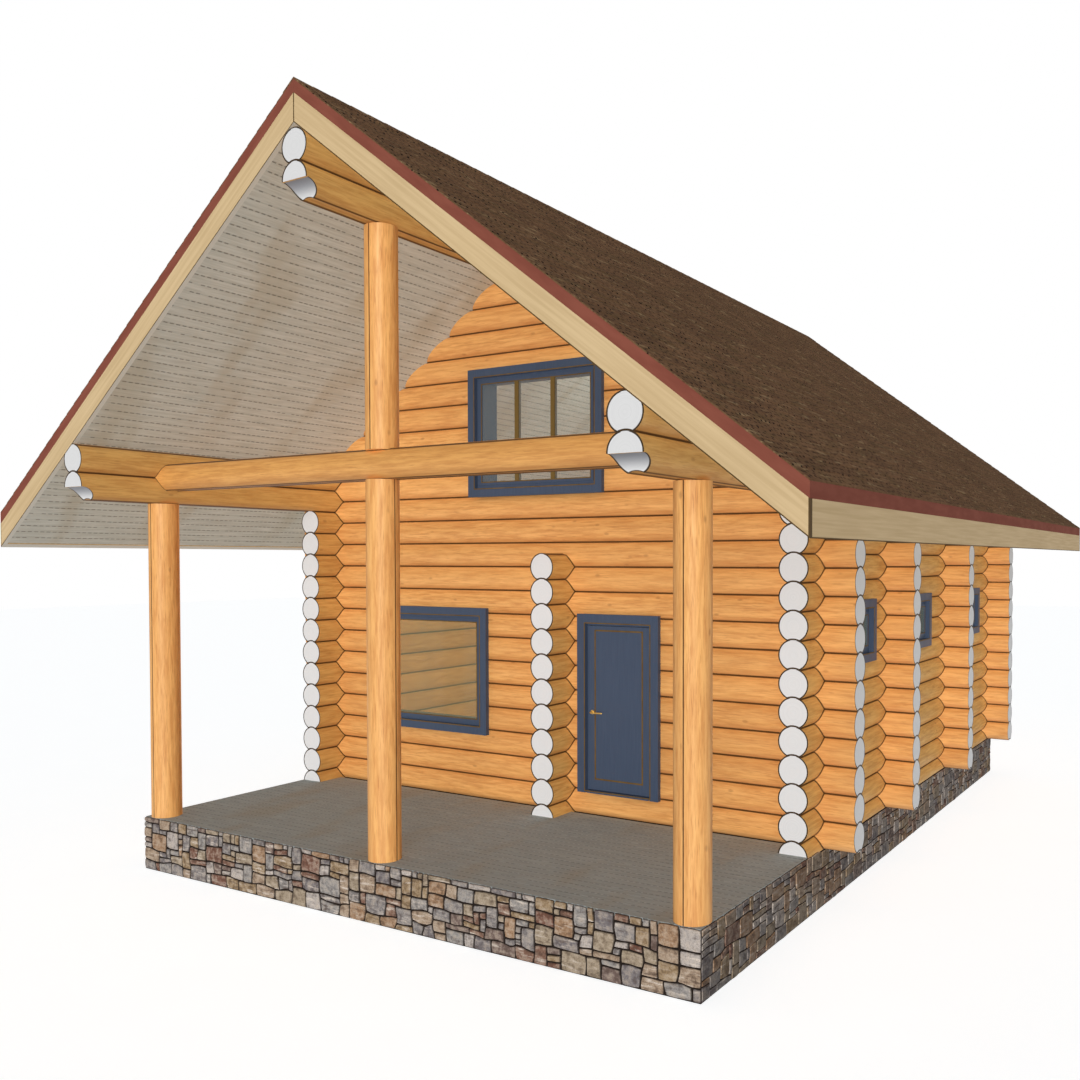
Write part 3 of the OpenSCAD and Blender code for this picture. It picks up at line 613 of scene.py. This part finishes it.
def stone_wall(name, along, half, depth, tops, seed):
    """Stones on one side, which goes half its length either way and lies depth out from the origin.
    `tops` are its height at its start and end, and the place where it changes. A stone's points are
    pulled in at the corners, bent by slow waves, and raised by crest, tilt and dents times two rises."""
    rng = np.random.default_rng(seed)
    length = 2 * half
    columns = round(length / CELL_WIDE)
    laid = lay_stones(columns, STONE_ROWS, rng)
    count = len(laid)
    cell = length / columns
    left, foot, wide, high = (laid * [cell, CELL_HIGH, cell, CELL_HIGH]).T[..., None, None]
    half_w, half_h = wide / 2, high / 2
    a, b = station(half_w - JOINT, 1), station(half_h - JOINT, 2)
    corner = (a / half_w) ** 4 * (b / half_h) ** 4
    pull = 1 - corner * np.repeat(np.repeat(rng.uniform(*CORNER_PULL, (count, 2, 2)), 3, 1), 3, 2)
    u, v = left + half_w + a * pull, foot + half_h + b * pull
    keep_u = np.clip(np.minimum(u, length - u) / HOLD_SIDE, 0, 1)
    keep_v = np.clip(np.minimum(v, PLINTH_TOP - v) / HOLD_HEAD, 0, 1)
    loose = LOOSE - FIRMER * v / PLINTH_TOP
    du = slow_wave(u, v, WAVE, rng) * loose
    dv = slow_wave(u, v, WAVE, rng) * loose * 0.8 + slow_wave(u, v, LONG_WAVE, rng) * LONG_BEND
    u, v = u + du * keep_u, v + dv * keep_v
    start, end, change = tops
    v = v * (end + (start - end) * np.clip((change - u) / HEAD_STEP, 0, 1)) / PLINTH_TOP
    crest = (CREST + TALLER * rng.random(count))[:, None, None]
    tilt_u, tilt_v = rng.uniform(-TILT, TILT, (2, count, 1, 1))
    rise = np.outer(RISE, RISE)
    slant = tilt_u * a / half_w + tilt_v * b / half_h
    out = -SUNK + rise * (crest + SUNK + slant + rng.uniform(-DENT, DENT, (count, 6, 6)))
    u, out = (u - half)[..., None], (out + depth)[..., None]
    points = u * along + out * [along[1], -along[0], 0] + v[..., None] * UP
    index = np.arange(count * 36).reshape(count, 6, 6)
    front = np.stack([index[:, :-1, :-1], index[:, 1:, :-1], index[:, 1:, 1:], index[:, :-1, 1:]],
                     -1).reshape(-1, 4)
    rim = np.concatenate([index[:, :-1, 0], index[:, -1, :-1], index[:, :0:-1, -1],
                          index[:, 0, :0:-1]], 1)[:, ::-1]
    points = points.reshape(-1, 3)
    if enclosed(points, front) + enclosed(points, rim) < 0:
        front, rim = front[:, ::-1], rim[:, ::-1]
    tones = {"stone": np.repeat(rng.random(count), 36), "shade": np.repeat(rng.random(count), 36),
             "edge": np.tile(1 - rise.ravel(), count)}
    make_piece(name, points, [front, rim], stone, "fieldstone", tones=tones)


# %% [markdown]
# ### Colours of the stone
#
# A ramp with hard steps turns each stone's random number into a colour. Over
# that go clouds, bedding in pale and dark streaks, fine grit, and painted shade
# that darkens each stone towards its rim. The two long sides get painted shade
# as well, the right one more.

# %% The finish of the stone
STONE_COLOURS = [
    (0.00, paint(137, 133, 133)), (0.14, paint(158, 141, 118)), (0.25, paint(150, 147, 145)),
    (0.37, paint(154, 128, 94)), (0.47, paint(115, 96, 90)), (0.55, paint(167, 143, 120)),
    (0.64, paint(128, 90, 73)), (0.71, paint(188, 179, 173)), (0.80, paint(117, 113, 117)),
    (0.88, paint(162, 126, 94)), (0.95, paint(115, 71, 55)),
]
# painted shade on the two long sides, the right one darker
RIGHT_PAINTED_SHADE, LEFT_PAINTED_SHADE = 0.56, 0.30
stone = Finish("fieldstone", Roughness=0.9, Specular_IOR_Level=0.12)
step, shade = stone.step, stone.tone("shade")
cloud = stone.noise(scale=19, detail=5, roughness=0.62)
grit = stone.noise(scale=100, detail=4, roughness=0.7)
bedding = stone.noise(stone.stretch(stone.place(), (6.0, 6.0, 34.0)), detail=4, roughness=0.6)
sideways = stone.facing()[0]
side_painted_shade = step(sideways, 0.60, 0.87) * RIGHT_PAINTED_SHADE + step(sideways, -0.60, -0.87) * LEFT_PAINTED_SHADE
# the last two coats are painted shade: on the long sides, and towards each stone's rim
stone.dress(
    stone.ramp(stone.tone("stone"), STONE_COLOURS),
    (step(cloud, 0.40, 0.66) * 0.50, paint(200, 183, 164)),
    (step(cloud, 0.52, 0.30) * 0.72, paint(92, 76, 66)),
    (step(bedding, 0.54, 0.66) * shade * 0.75, paint(226, 212, 198)),
    (step(bedding, 0.46, 0.34) * shade * 0.75, paint(84, 66, 56)),
    (step(grit, 0.46, 0.68) * 0.50, paint(84, 70, 60)),
    (side_painted_shade, paint(46, 42, 41)),
    (step(stone.tone("edge"), 0.22, 0.90) * 0.90, paint(34, 26, 22)))
stone.bump(cloud * 0.7 + grit * 0.3, 0.006)

mortar = Finish("mortar", Roughness=0.95, Specular_IOR_Level=0.1)
mortar_grain = mortar.noise(scale=60, detail=3)
mortar.dress(paint(26, 20, 17), (mortar_grain, paint(46, 37, 31)))
mortar.bump(mortar_grain, 0.003)
wear(mortar, "plinth_front", "plinth_left", "plinth_right", "plinth_back", "plinth_strips")

# %% Four sides of stone
HALF_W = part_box("plinth_front")[1].x
HALF_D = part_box("plinth_back")[1].y
LAP = 0.009
STONE_HEAD = DECK_HIGH.z - 0.0015
HOUSE_HEAD = PLINTH_TOP - 0.008
porch_deep = DECK_HIGH.y + HALF_D
stone_wall("stones_front", (1, 0, 0), HALF_W + LAP, HALF_D, (STONE_HEAD, STONE_HEAD, 0), 11)
stone_wall("stones_right", (0, 1, 0), HALF_D, HALF_W, (STONE_HEAD, HOUSE_HEAD, porch_deep), 12)
stone_wall("stones_back", (-1, 0, 0), HALF_W + LAP, HALF_D, (HOUSE_HEAD, HOUSE_HEAD, 0), 13)
stone_wall("stones_left", (0, -1, 0), HALF_D, HALF_W, (HOUSE_HEAD, STONE_HEAD, 2 * HALF_D - porch_deep), 14)


# %% [markdown]
# ## Porch deck
#
# Old boards age alike: the surface goes grey, dirt in a joint shows as a row of
# dark dashes where the edges stand apart, and water leaves soft stains. The
# deck and the soffit share one recipe with different numbers.

# %% Weathered boards
GAP_BAND, DASH_BAND, DASH_LOSS = (0.0085, 0.0045), (0.38, 0.26), 0.10


def slope_parts(finish):
    """The place down the soffit's plane from its ridge, along the ridge, and square to the plane. The
    sign of x is dropped, because the slopes mirror each other."""
    x, y, z = finish.parts()
    out = abs(x)
    drop = z - SOFFIT_APEX
    return (out * math.cos(PITCH) - drop * math.sin(PITCH), y,
            out * math.sin(PITCH) + drop * math.cos(PITCH))


def grey_board_finish(name, shades, axis, across_of, width, period):
    """Weathered boards along an axis. `across_of` gives the place across them from an edge. A joint
    is a whole number of widths, and a dash near it is the middle part of each period."""
    pale, dark, mark, stain = shades
    finish = Finish(name, Roughness=0.9, Specular_IOR_Level=0.1)
    step = finish.step
    along, across = finish.parts()[axis], across_of(finish)
    streak = finish.streaks(50.0, 3.0, axis, detail=4, roughness=0.6)
    soft = finish.noise(finish.join(across * 0.55, along * 1.7, 0.0), detail=2)
    count = across / width
    joint = count.math("ROUND")
    gap = abs(count - joint) * width
    cell = along / period + finish.random(finish.join(joint, 1.0, 2.0))
    number = cell.math("FLOOR")
    kept = finish.random(finish.join(number, joint, 4.0)) > DASH_LOSS
    dash = step(abs(cell - number - 0.5), *DASH_BAND) * kept
    finish.dress(dark, (step(streak, 0.25, 0.75), pale), (finish.tone("board") * 0.22, dark),
                 (step(soft, 0.50, 0.68) * 0.55, stain),
                 (step(gap, *GAP_BAND) * (dash * 0.46 + 0.14), mark))
    finish.bump(streak, 0.0010)
    return finish


BOARD_STEP = 0.094
deck_deep = DECK_HIGH.y - DECK_LOW.y
deck_count = round(deck_deep / BOARD_STEP)
deck_step = deck_deep / deck_count
DECK_SHADES = paint(168, 174, 173), paint(144, 149, 148), paint(72, 65, 55), paint(154, 147, 132)
deck_finish = grey_board_finish("weathered_deck", DECK_SHADES, 0,
                                lambda finish: finish.parts()[1] - DECK_LOW.y, deck_step, 0.055)

# %% Deck boards
DECK_GAP, DECK_EASE = 0.0016, 0.0012
STONE_CLEAR = 0.0045
deck_edges = DECK_LOW.y + deck_step * np.arange(deck_count + 1)
deck_edges[0] += STONE_CLEAR
deck_middle = (deck_edges[:-1] + deck_edges[1:]) / 2
deck_line = np.stack(np.broadcast_arrays(HALF_W - STONE_CLEAR, deck_middle, DECK_LOW.z), 1)
deck_runs = boards(deck_line * [-1, 1, 1], deck_line, (0, 1, 0), UP,
                   np.diff(deck_edges) - DECK_GAP, DECK_HIGH.z - DECK_LOW.z, DECK_EASE)
deck_tones = np.repeat(np.random.default_rng(21).random(deck_count), 16)
deck = make_piece("deck_boards", *closed_runs(deck_runs), deck_finish, "deck_board",
                  tones={"board": deck_tones})
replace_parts(deck, "porch_deck")


# %% [markdown]
# ## Boarded soffit
#
# Boards silvered with age run along the eaves under the roof, on the plane of
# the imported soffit. A slope is set out by two directions: down the slope, and
# square to it.

# %% Soffit boards
SOFFIT_THICK, SOFFIT_GAP, SOFFIT_EASE = 0.019, 0.0015, 0.002
soffit_reach = SOFFIT_HIGH.x / math.cos(PITCH) - SOFFIT_THICK * math.tan(PITCH)
soffit_count = round(soffit_reach / BOARD_STEP)
soffit_step = soffit_reach / soffit_count
SOFFIT_SHADES = paint(208, 208, 198), paint(184, 183, 171), paint(88, 82, 72), paint(178, 167, 144)
soffit_finish = grey_board_finish("silvered_soffit", SOFFIT_SHADES, 1,
                                  lambda finish: slope_parts(finish)[0], soffit_step, 0.060)


def soffit_boards(name, node, side, seed):
    """Boards along Y, one below the other down the slope from the ridge to the eave board. The side
    is 1 on the right."""
    low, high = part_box(node)
    down = np.array([side * math.cos(PITCH), 0, -math.sin(PITCH)])
    square = [side * math.sin(PITCH), 0, math.cos(PITCH)]
    middle = soffit_step * (np.arange(soffit_count) + 0.5)[:, None] * down + [0, 0, SOFFIT_APEX]
    numbers = np.random.default_rng(seed).random(soffit_count)
    runs = boards(middle + [0, low.y, 0], middle + [0, high.y, 0], down, square,
                  soffit_step - SOFFIT_GAP, SOFFIT_THICK, SOFFIT_EASE)
    piece = make_piece(name, *closed_runs(runs), soffit_finish, "soffit_board",
                       tones={"board": np.repeat(numbers, 16)})
    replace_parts(piece, node)


soffit_boards("soffit_boards_left", "soffit_left", -1, 31)
soffit_boards("soffit_boards_right", "soffit_right", 1, 32)


# %% [markdown]
# ## Shingles
#
# Shingles are laid from the eave up, each course over the top of the one
# below. Every shingle is one wedge, thick at its lower edge and thin where the
# next course hides it, with a width and a thickness of its own. Short caps
# folded over the ridge close it.

# %% Shingles
ROOF_TOP_H = (ROOF_TOP.z - SOFFIT_APEX) * math.cos(PITCH)
ROOF_FOOT_H = ROOF_TOP_H - 0.0136
UNDERLAY_H = ROOF_FOOT_H + 0.004
EXPOSURE, HEAD_LAP, BUTT_SWAY = 0.145, 0.018, 0.004
TAB_WIDTHS, TAB_LEAST, TAB_THICK = (0.14, 0.36), 0.05, (0.0052, 0.0072)
OPEN_SLIT, CLOSED_SLIT = 0.003, 0.0012


def roof_points(x, y, layer):
    """Sections at the places y. Their height is that of the soffit's plane at x, plus the layer's
    height square to it over the cosine of the pitch."""
    height = SOFFIT_APEX - SLOPE * np.abs(x) + layer / math.cos(PITCH)
    return np.stack(np.broadcast_arrays(x, y[:, None], height), -1)


def shingle_slope(name, node, side, seed):
    """Courses at equal steps in plan from eave to ridge. A tab goes from its left to its right edge
    along y and from its butt to its head along x. The last run is the underlay below them all."""
    rng = np.random.default_rng(seed)
    step = EXPOSURE * math.cos(PITCH)
    courses = math.ceil((ROOF_TOP.x - 0.02) / step)
    rows = []
    for course in range(courses):
        widths = rng.uniform(*TAB_WIDTHS, 60)
        edges = -RAKE - rng.uniform(0, 0.3) + np.cumsum(widths)
        edges = np.concatenate([[-RAKE], edges[np.abs(edges) < RAKE - TAB_LEAST], [RAKE]])
        rows.append([np.full(len(edges) - 1, ROOF_TOP.x - course * step), edges[:-1], edges[1:]])
    butt, left, right = np.concatenate(rows, 1)
    count = len(butt)
    butt = butt + rng.uniform(-BUTT_SWAY, BUTT_SWAY, count) * (butt < ROOF_TOP.x - 0.01)
    head = np.maximum(butt - step - HEAD_LAP, 0.002)
    thick = rng.uniform(*TAB_THICK, count)
    right = right - np.where(rng.random(count) < 0.5, OPEN_SLIT, CLOSED_SLIT) * (right < RAKE - 0.01)
    low, thin = np.full((2, count), UNDERLAY_H) + [[-0.001], [0.0008]]
    x = np.vstack([np.stack([butt, butt, head, head], 1), [0, ROOF_TOP.x, ROOF_TOP.x, 0]])
    layer = np.vstack([np.stack([low, UNDERLAY_H + thick, thin, low], 1),
                       [ROOF_FOOT_H, ROOF_FOOT_H, UNDERLAY_H, UNDERLAY_H]])
    sections = np.stack([roof_points(side * x, y, layer)
                         for y in (np.append(left, -RAKE), np.append(right, RAKE))], 1)
    tones = {"tab": np.repeat(np.append(rng.random(count), 0.5), 8)}
    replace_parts(make_piece(name, *closed_runs(sections), mineral, "shingle", tones=tones), node)
    print("courses", courses, "tabs", count)


# %% [markdown]
# ### Mineral granules
#
# The face of a shingle is crushed stone pressed into bitumen: small brown
# grains, clusters of black ones and pale scuffs. Tabs differ a little in tone.

# %% The finish of the shingles
mineral = Finish("shingles", Roughness=0.95, Specular_IOR_Level=0.08)
step, noise, stretch = mineral.step, mineral.noise, mineral.stretch
flat_place = mineral.join(*slope_parts(mineral)[:2], 0.0)
grains = noise(scale=48, detail=4, roughness=0.75)
patches = noise(stretch(flat_place, (7.0, 3.0, 1.0)), detail=3)
scuffs = noise(stretch(flat_place, (17.0, 3.2, 1.0)), detail=3, roughness=0.55)
clusters = mineral.spots(flat_place, 16.0, 0.6, {"voronoi_dimensions": "2D"})
mineral.dress(
    paint(108, 79, 56),
    (mineral.tone("tab"), paint(126, 94, 67)),
    (step(patches, 0.45, 0.70) * 0.45, paint(97, 79, 49)),
    (step(grains, 0.46, 0.66) * 0.55, paint(62, 44, 32)),
    (step(grains, 0.44, 0.28) * 0.55, paint(146, 116, 88)),
    (step(scuffs, 0.58, 0.68) * 0.60, paint(156, 132, 98)),
    (step(clusters, 0.23, 0.15), paint(20, 15, 13)))
mineral.bump(grains, 0.003)

shingle_slope("shingle_courses_left", "shingles_left", -1, 41)
shingle_slope("shingle_courses_right", "shingles_right", 1, 42)

# %% Ridge caps
CAP_STEP, CAP_REACH, CAP_LAP, CAP_SINK = 0.19, 0.12, 0.02, 0.0028
cap_count = round(2 * RAKE / CAP_STEP)
cap_step = 2 * RAKE / cap_count
cap_start = -RAKE + cap_step * np.arange(cap_count)
cap_end = np.minimum(cap_start + cap_step + CAP_LAP, RAKE)
CAP_FOOT_H = UNDERLAY_H + 0.004
CAP_X = np.array([-CAP_REACH, 0.0, CAP_REACH, CAP_REACH, 0.0, -CAP_REACH])


def cap_section(y, top):
    """Six points of a folded cap: its underside from side to side, then its top back again."""
    return roof_points(CAP_X, y, np.where(np.arange(6) < 3, CAP_FOOT_H, top))


caps = np.stack([cap_section(cap_start, ROOF_TOP_H), cap_section(cap_end, ROOF_TOP_H - CAP_SINK)], 1)
cap_tones = np.repeat(np.random.default_rng(43).random(cap_count), 12)
make_piece("ridge_caps", *closed_runs(caps), mineral, "shingle", tones={"tab": cap_tones})


# %% [markdown]
# ## Painted boards and sawn timber
#
# Paint on sawn wood lets the grain show as faint streaks along each board. On
# the gables the boards run down the slope, so the pattern is first turned to
# slope axes. Dark joints lie where boards meet the soffit and each other, and
# the undersides were left bare and have gone grey.

# %% Painted and plain wood
EDGE_LINE = paint(84, 62, 28)
LINE_WIDE, LINE_CORE = 0.0095, 0.0070
BARE_GREY = paint(206, 203, 192)


def board_paint(name, light, dark, factors, turned=False, roughness=0.6, shine=0.25):
    """Two shades mixed by noise that the factors stretch along the board."""
    finish = Finish(name, Roughness=roughness, Specular_IOR_Level=shine)
    place = finish.join(*slope_parts(finish)) if turned else finish.place()
    grain = finish.noise(finish.stretch(place, factors), detail=4, roughness=0.55)
    soft = finish.noise(place, scale=1.3, detail=2)
    finish.dress(light, (finish.step(grain, 0.3, 0.7) * 0.8, dark), (finish.step(soft, 0.4, 0.7) * 0.3, dark))
    finish.feed("Roughness", finish.step(grain, 0.2, 0.8, roughness - 0.06, roughness + 0.08))
    finish.bump(grain, 0.0006)
    return finish


def edge_board(finish, joints, name):
    """Dark lines at the joints, and grey wood where the surface looks down."""
    finish.cover((joints, EDGE_LINE), (finish.facing()[2] < -0.5, BARE_GREY))
    wear(finish, name)


CREAM_LIGHT, CREAM_DARK = paint(214, 187, 143), paint(196, 168, 124)
rakes = board_paint("cream_rakes", CREAM_LIGHT, CREAM_DARK, (1.3, 44.0, 44.0), turned=True)
rake_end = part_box("rake_boards")[1].x
rake_out = abs(rakes.parts()[0])
ridge_joint = rakes.step(rake_out, 0.0065, 0.0045)
soffit_joint = rakes.step(slope_parts(rakes)[2], LINE_WIDE, LINE_CORE)
eave_joint = rakes.step(rake_out, rake_end - LINE_WIDE, rake_end - LINE_CORE)
edge_board(rakes, ridge_joint.larger(soffit_joint).larger(eave_joint), "rake_boards")

eaves = board_paint("cream_eaves", CREAM_LIGHT, CREAM_DARK, (44.0, 1.3, 44.0))
eave_height = eaves.parts()[2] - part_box("eave_boards")[0].z
edge_board(eaves, eaves.step(eave_height, LINE_WIDE, LINE_CORE), "eave_boards")

wear(board_paint("red_trim", paint(138, 79, 64), paint(124, 68, 55), (3.0, 3.0, 14.0), turned=True,
                 roughness=0.85, shine=0.08), "roof_edge_trim")
wear(board_paint("sawn_timber", paint(206, 172, 126), paint(170, 134, 92), (1.1, 22.0, 22.0),
                 turned=True), "rafters", "roof_deck_left", "roof_deck_right")
wear(board_paint("planed_timber", paint(214, 178, 132), paint(182, 144, 100), (22.0, 1.2, 22.0)),
     "attic_joists", "attic_floor")
wear(board_paint("floor_boards", paint(206, 164, 112), paint(176, 132, 84), (1.2, 9.0, 9.0)),
     "ground_floor")


# %% [markdown]
# ## Blue joinery
#
# Casings, sashes and door are slate blue with upright brush marks. The two bars
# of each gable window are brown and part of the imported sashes, so the finish
# finds them by their place.

# %% The finish of the joinery
BLUE_LIGHT, BLUE_DARK = paint(64, 77, 98), paint(56, 68, 88)
BAR_BROWN = paint(104, 82, 38)
BAR_PLACE, BAR_HALF, BAR_FOOT, BAR_HEAD = 0.23, 0.03, 3.903, 4.929


def joinery_finish(name):
    """Blue shades mixed by fine upright brush marks."""
    finish = Finish(name, Roughness=0.42, Specular_IOR_Level=0.3)
    place = finish.place()
    brush = finish.noise(finish.stretch(place, (60.0, 60.0, 3.0)), detail=3, roughness=0.6)
    cloud = finish.noise(place, scale=2.5, detail=2)
    finish.dress(BLUE_LIGHT, (finish.step(brush, 0.3, 0.7) * 0.5 + cloud * 0.2, BLUE_DARK))
    finish.feed("Roughness", finish.step(cloud, 0.3, 0.7, 0.38, 0.50))
    finish.bump(brush, 0.0004)
    return finish


wear(joinery_finish("blue_joinery"), "window_frames", "door_leaf", "door_frame", "inner_door_linings")

sash = joinery_finish("blue_sashes")
sash_parts = sash.parts()
bar_middle = abs(abs(sash_parts[0]) - BAR_PLACE)
bar = (bar_middle < BAR_HALF) * (sash_parts[2] > BAR_FOOT) * (sash_parts[2] < BAR_HEAD)
sash.cover((bar, BAR_BROWN))
wear(sash, "window_sashes")


# %% [markdown]
# ## Glass
#
# Glass lets the room show, with a grey veil of dust and painted sky reflection.
# Refraction is slow and adds nothing in thin panes, so a pane is a smooth grey
# coat, mostly see-through. The lower windows have a thicker, greener painted veil.

# %% The finish of the glass
glass = Finish("window_glass", Roughness=0.06, Specular_IOR_Level=0.2, IOR=1.5)
dust = glass.noise(scale=1.8, detail=3)
below = glass.step(glass.parts()[2], 3.1, 2.9)
# the grey coat is dust and painted reflection of the sky
glass.dress(paint(114, 122, 124), (dust, paint(130, 137, 138)), (below, paint(126, 134, 106)))
glass.feed("Alpha", glass.step(dust, 0.3, 0.7, 0.19, 0.24) + below * 0.08)
wear(glass, "window_glass")


# %% [markdown]
# ## Door furniture
#
# The lever is brass: a round rose, a neck that comes out of it, and a grip that
# sweeps to the side and thins towards its end. It is one tube along a bent
# line, and rides on the lever's own body.

# %% Brass lever
brass = Finish("brass", Metallic=0.85, Roughness=0.45)
brass_noise = brass.noise(scale=120, detail=3)
brass.dress(paint(240, 204, 124), (brass_noise, paint(214, 172, 92)))
brass.feed("Roughness", brass.step(brass_noise, 0.3, 0.7, 0.38, 0.52))

LEVER_X, LEVER_Z = 0.719, 1.559
LEVER_OUT, LEVER_BEND, LEVER_GRIP, LEVER_SWEEP = 0.052, 0.020, 0.136, 0.006
LEAF_FRONT, LEAF_BACK = -2.2525, -2.1925
LEVER_SEAT, ROSE_SEAT, NECK, GRIP = 0.004, 0.0002, 0.0085, (0.0088, 0.0074)
TIP, TIP_RADII = np.array([0.004, 0.0065, 0.008]), [0.0066, 0.0042, 0.0008]
LEAF_SIDES = ("outside", LEAF_FRONT, -1), ("inside", LEAF_BACK, 1)


def circle_sections(path, radii, sides):
    """A round section at each point of a path. The line there is the mean of its two steps, and the
    section's axes are that line crossed with Z, and the line crossed with the result."""
    line = np.gradient(path, axis=0)
    line /= np.linalg.norm(line, axis=1, keepdims=True)
    across = np.cross(line, UP)
    across /= np.linalg.norm(across, axis=1, keepdims=True)
    upward = np.cross(across, line)
    angle = np.linspace(0, 2 * math.pi, sides, endpoint=False)
    ring = np.cos(angle)[None, :, None] * across[:, None] + np.sin(angle)[None, :, None] * upward[:, None]
    return (path[:, None] + radii[:, None, None] * ring)[None]


def lever_path(face, out):
    """From the rose straight out, round a quarter turn, then along the grip to a rounded end."""
    quarter = np.linspace(0, math.pi / 2, 9)[1:]
    straight = np.linspace(0, LEVER_OUT - LEVER_BEND, 4)
    turn_x, turn_y = LEVER_BEND * (1 - np.cos(quarter)), straight[-1] + LEVER_BEND * np.sin(quarter)
    along = np.linspace(0, 1, 10)[1:]
    x = np.concatenate([np.zeros(4), turn_x, LEVER_BEND + (LEVER_GRIP - LEVER_BEND) * along,
                        LEVER_GRIP + TIP])
    y = np.concatenate([straight, turn_y, LEVER_OUT - LEVER_SWEEP * np.append(along, [1, 1, 1]) ** 2])
    radii = np.concatenate([np.full(12, NECK), np.linspace(*GRIP, 9), TIP_RADII])
    return np.stack(np.broadcast_arrays(LEVER_X + x, face + out * y, LEVER_Z), 1), radii


for label, face, out in LEAF_SIDES:
    path, radii = lever_path(face + out * LEVER_SEAT, out)
    lever = make_piece("lever_" + label, *closed_runs(circle_sections(path, radii, 16)), brass, "brass",
                       body="lever", smooth=True)
    if label == "outside":
        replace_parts(lever, "door_lever")

# %% Rose and moulding of the door
ROSE = np.array([(0.0, 0.0230), (0.0065, 0.0230), (0.0085, 0.0217), (0.0095, 0.0187), (0.0095, 0.0115)])
turn = np.linspace(0, 2 * math.pi, 40, endpoint=False)
ring = np.stack([np.cos(turn), np.zeros(40), np.sin(turn)], 1)
for label, face, out in LEAF_SIDES:
    sections = ROSE[:, 1, None, None] * ring + ROSE[:, 0, None, None] * [0, out, 0]
    sections = sections + [LEVER_X, face + out * ROSE_SEAT, LEVER_Z]
    make_piece("rose_" + label, *closed_runs(sections[None]), brass, "brass", body="door")


# %% [markdown]
# ## Brown beads
#
# A thin brown bead runs round the inner edge of every casing, round every pane
# and round the panel of the door. Each is four straight sticks, which the
# function for boards makes.

# %% Beads round openings
bead = board_paint("brown_bead", paint(108, 84, 44), paint(86, 64, 32), (9.0, 9.0, 9.0))
BEAD_WIDE, BEAD_HIGH, BEAD_EASE, BEAD_SUNK = 0.011, 0.0036, 0.0009, 0.0005


def bead_frame(middle, along, out, face, half, foot, head, wide=BEAD_WIDE):
    """Four sticks in a rectangle, half to either side of the middle and from foot to head, with their
    backs on the plane that is `face` out from it."""
    middle, along, out = (np.asarray(v, float) for v in (middle, along, out))

    def spot(side, z):
        return middle + along * side + UP * z + out * (face - BEAD_SUNK)

    low, high = foot - wide / 2, head + wide / 2
    upright = [[spot(side, z) for side in (-half, half)] for z in (low, high)]
    level = [[spot(side, z) for z in (foot, head)] for side in (-half, half)]
    return np.concatenate([boards(*upright, along, out, wide, BEAD_HIGH, BEAD_EASE),
                           boards(*level, UP, out, wide, BEAD_HIGH, BEAD_EASE)])


TRIM_FACE, SASH_FACE = 0.190, 0.150
TRIM_INSET, SASH_INSET = 0.084, 0.1545
ALONG_X, ALONG_Y = (1, 0, 0), (0, 1, 0)
FRONT_WINDOW = 1.700, 1.210, 2.563
GABLE_WINDOW = 1.700, 3.743, 5.089
SIDE_WINDOW = 0.612, 2.080, 2.693
MIDDLE_Y, REAR_Y = 0.8525, 3.2795
WINDOWS = [((-1.47, FRONT_Y, 0), ALONG_X, (0, -1, 0), FRONT_WINDOW)]
WINDOWS += [((0, y, 0), ALONG_X, (0, side, 0), GABLE_WINDOW) for y, side in ((FRONT_Y, -1), (BACK_Y, 1))]
WINDOWS += [((RIGHT_X, y, 0), ALONG_Y, (1, 0, 0), SIDE_WINDOW) for y in (-1.1645, MIDDLE_Y, REAR_Y)]
WINDOWS += [((LEFT_X, y, 0), ALONG_Y, (-1, 0, 0), SIDE_WINDOW) for y in (MIDDLE_Y, REAR_Y)]
sticks = []
for middle, along, out, (wide, foot, head) in WINDOWS:
    for inset, face in ((TRIM_INSET, TRIM_FACE), (SASH_INSET, SASH_FACE)):
        sticks.append(bead_frame(middle, along, out, face, wide / 2 - inset, foot + inset, head - inset))
DOOR_X, CASING_HALF, CASING_FOOT, CASING_HEAD = 1.024, 0.380, 0.7704, 2.449
sticks.append(bead_frame((DOOR_X, FRONT_Y, 0), ALONG_X, (0, -1, 0), TRIM_FACE, CASING_HALF,
                         CASING_FOOT, CASING_HEAD))
make_piece("window_beads", *closed_runs(np.concatenate(sticks)), bead, "blue_joinery")

PANEL_HALF, PANEL_FOOT, PANEL_HEAD, PANEL_BEAD = 0.274, 0.8914, 2.375, 0.016
panel = bead_frame((DOOR_X, 0, 0), ALONG_X, (0, -1, 0), -LEAF_FRONT, PANEL_HALF,
                   PANEL_FOOT, PANEL_HEAD, wide=PANEL_BEAD)
make_piece("door_bead", *closed_runs(panel), bead, "blue_joinery", body="door")
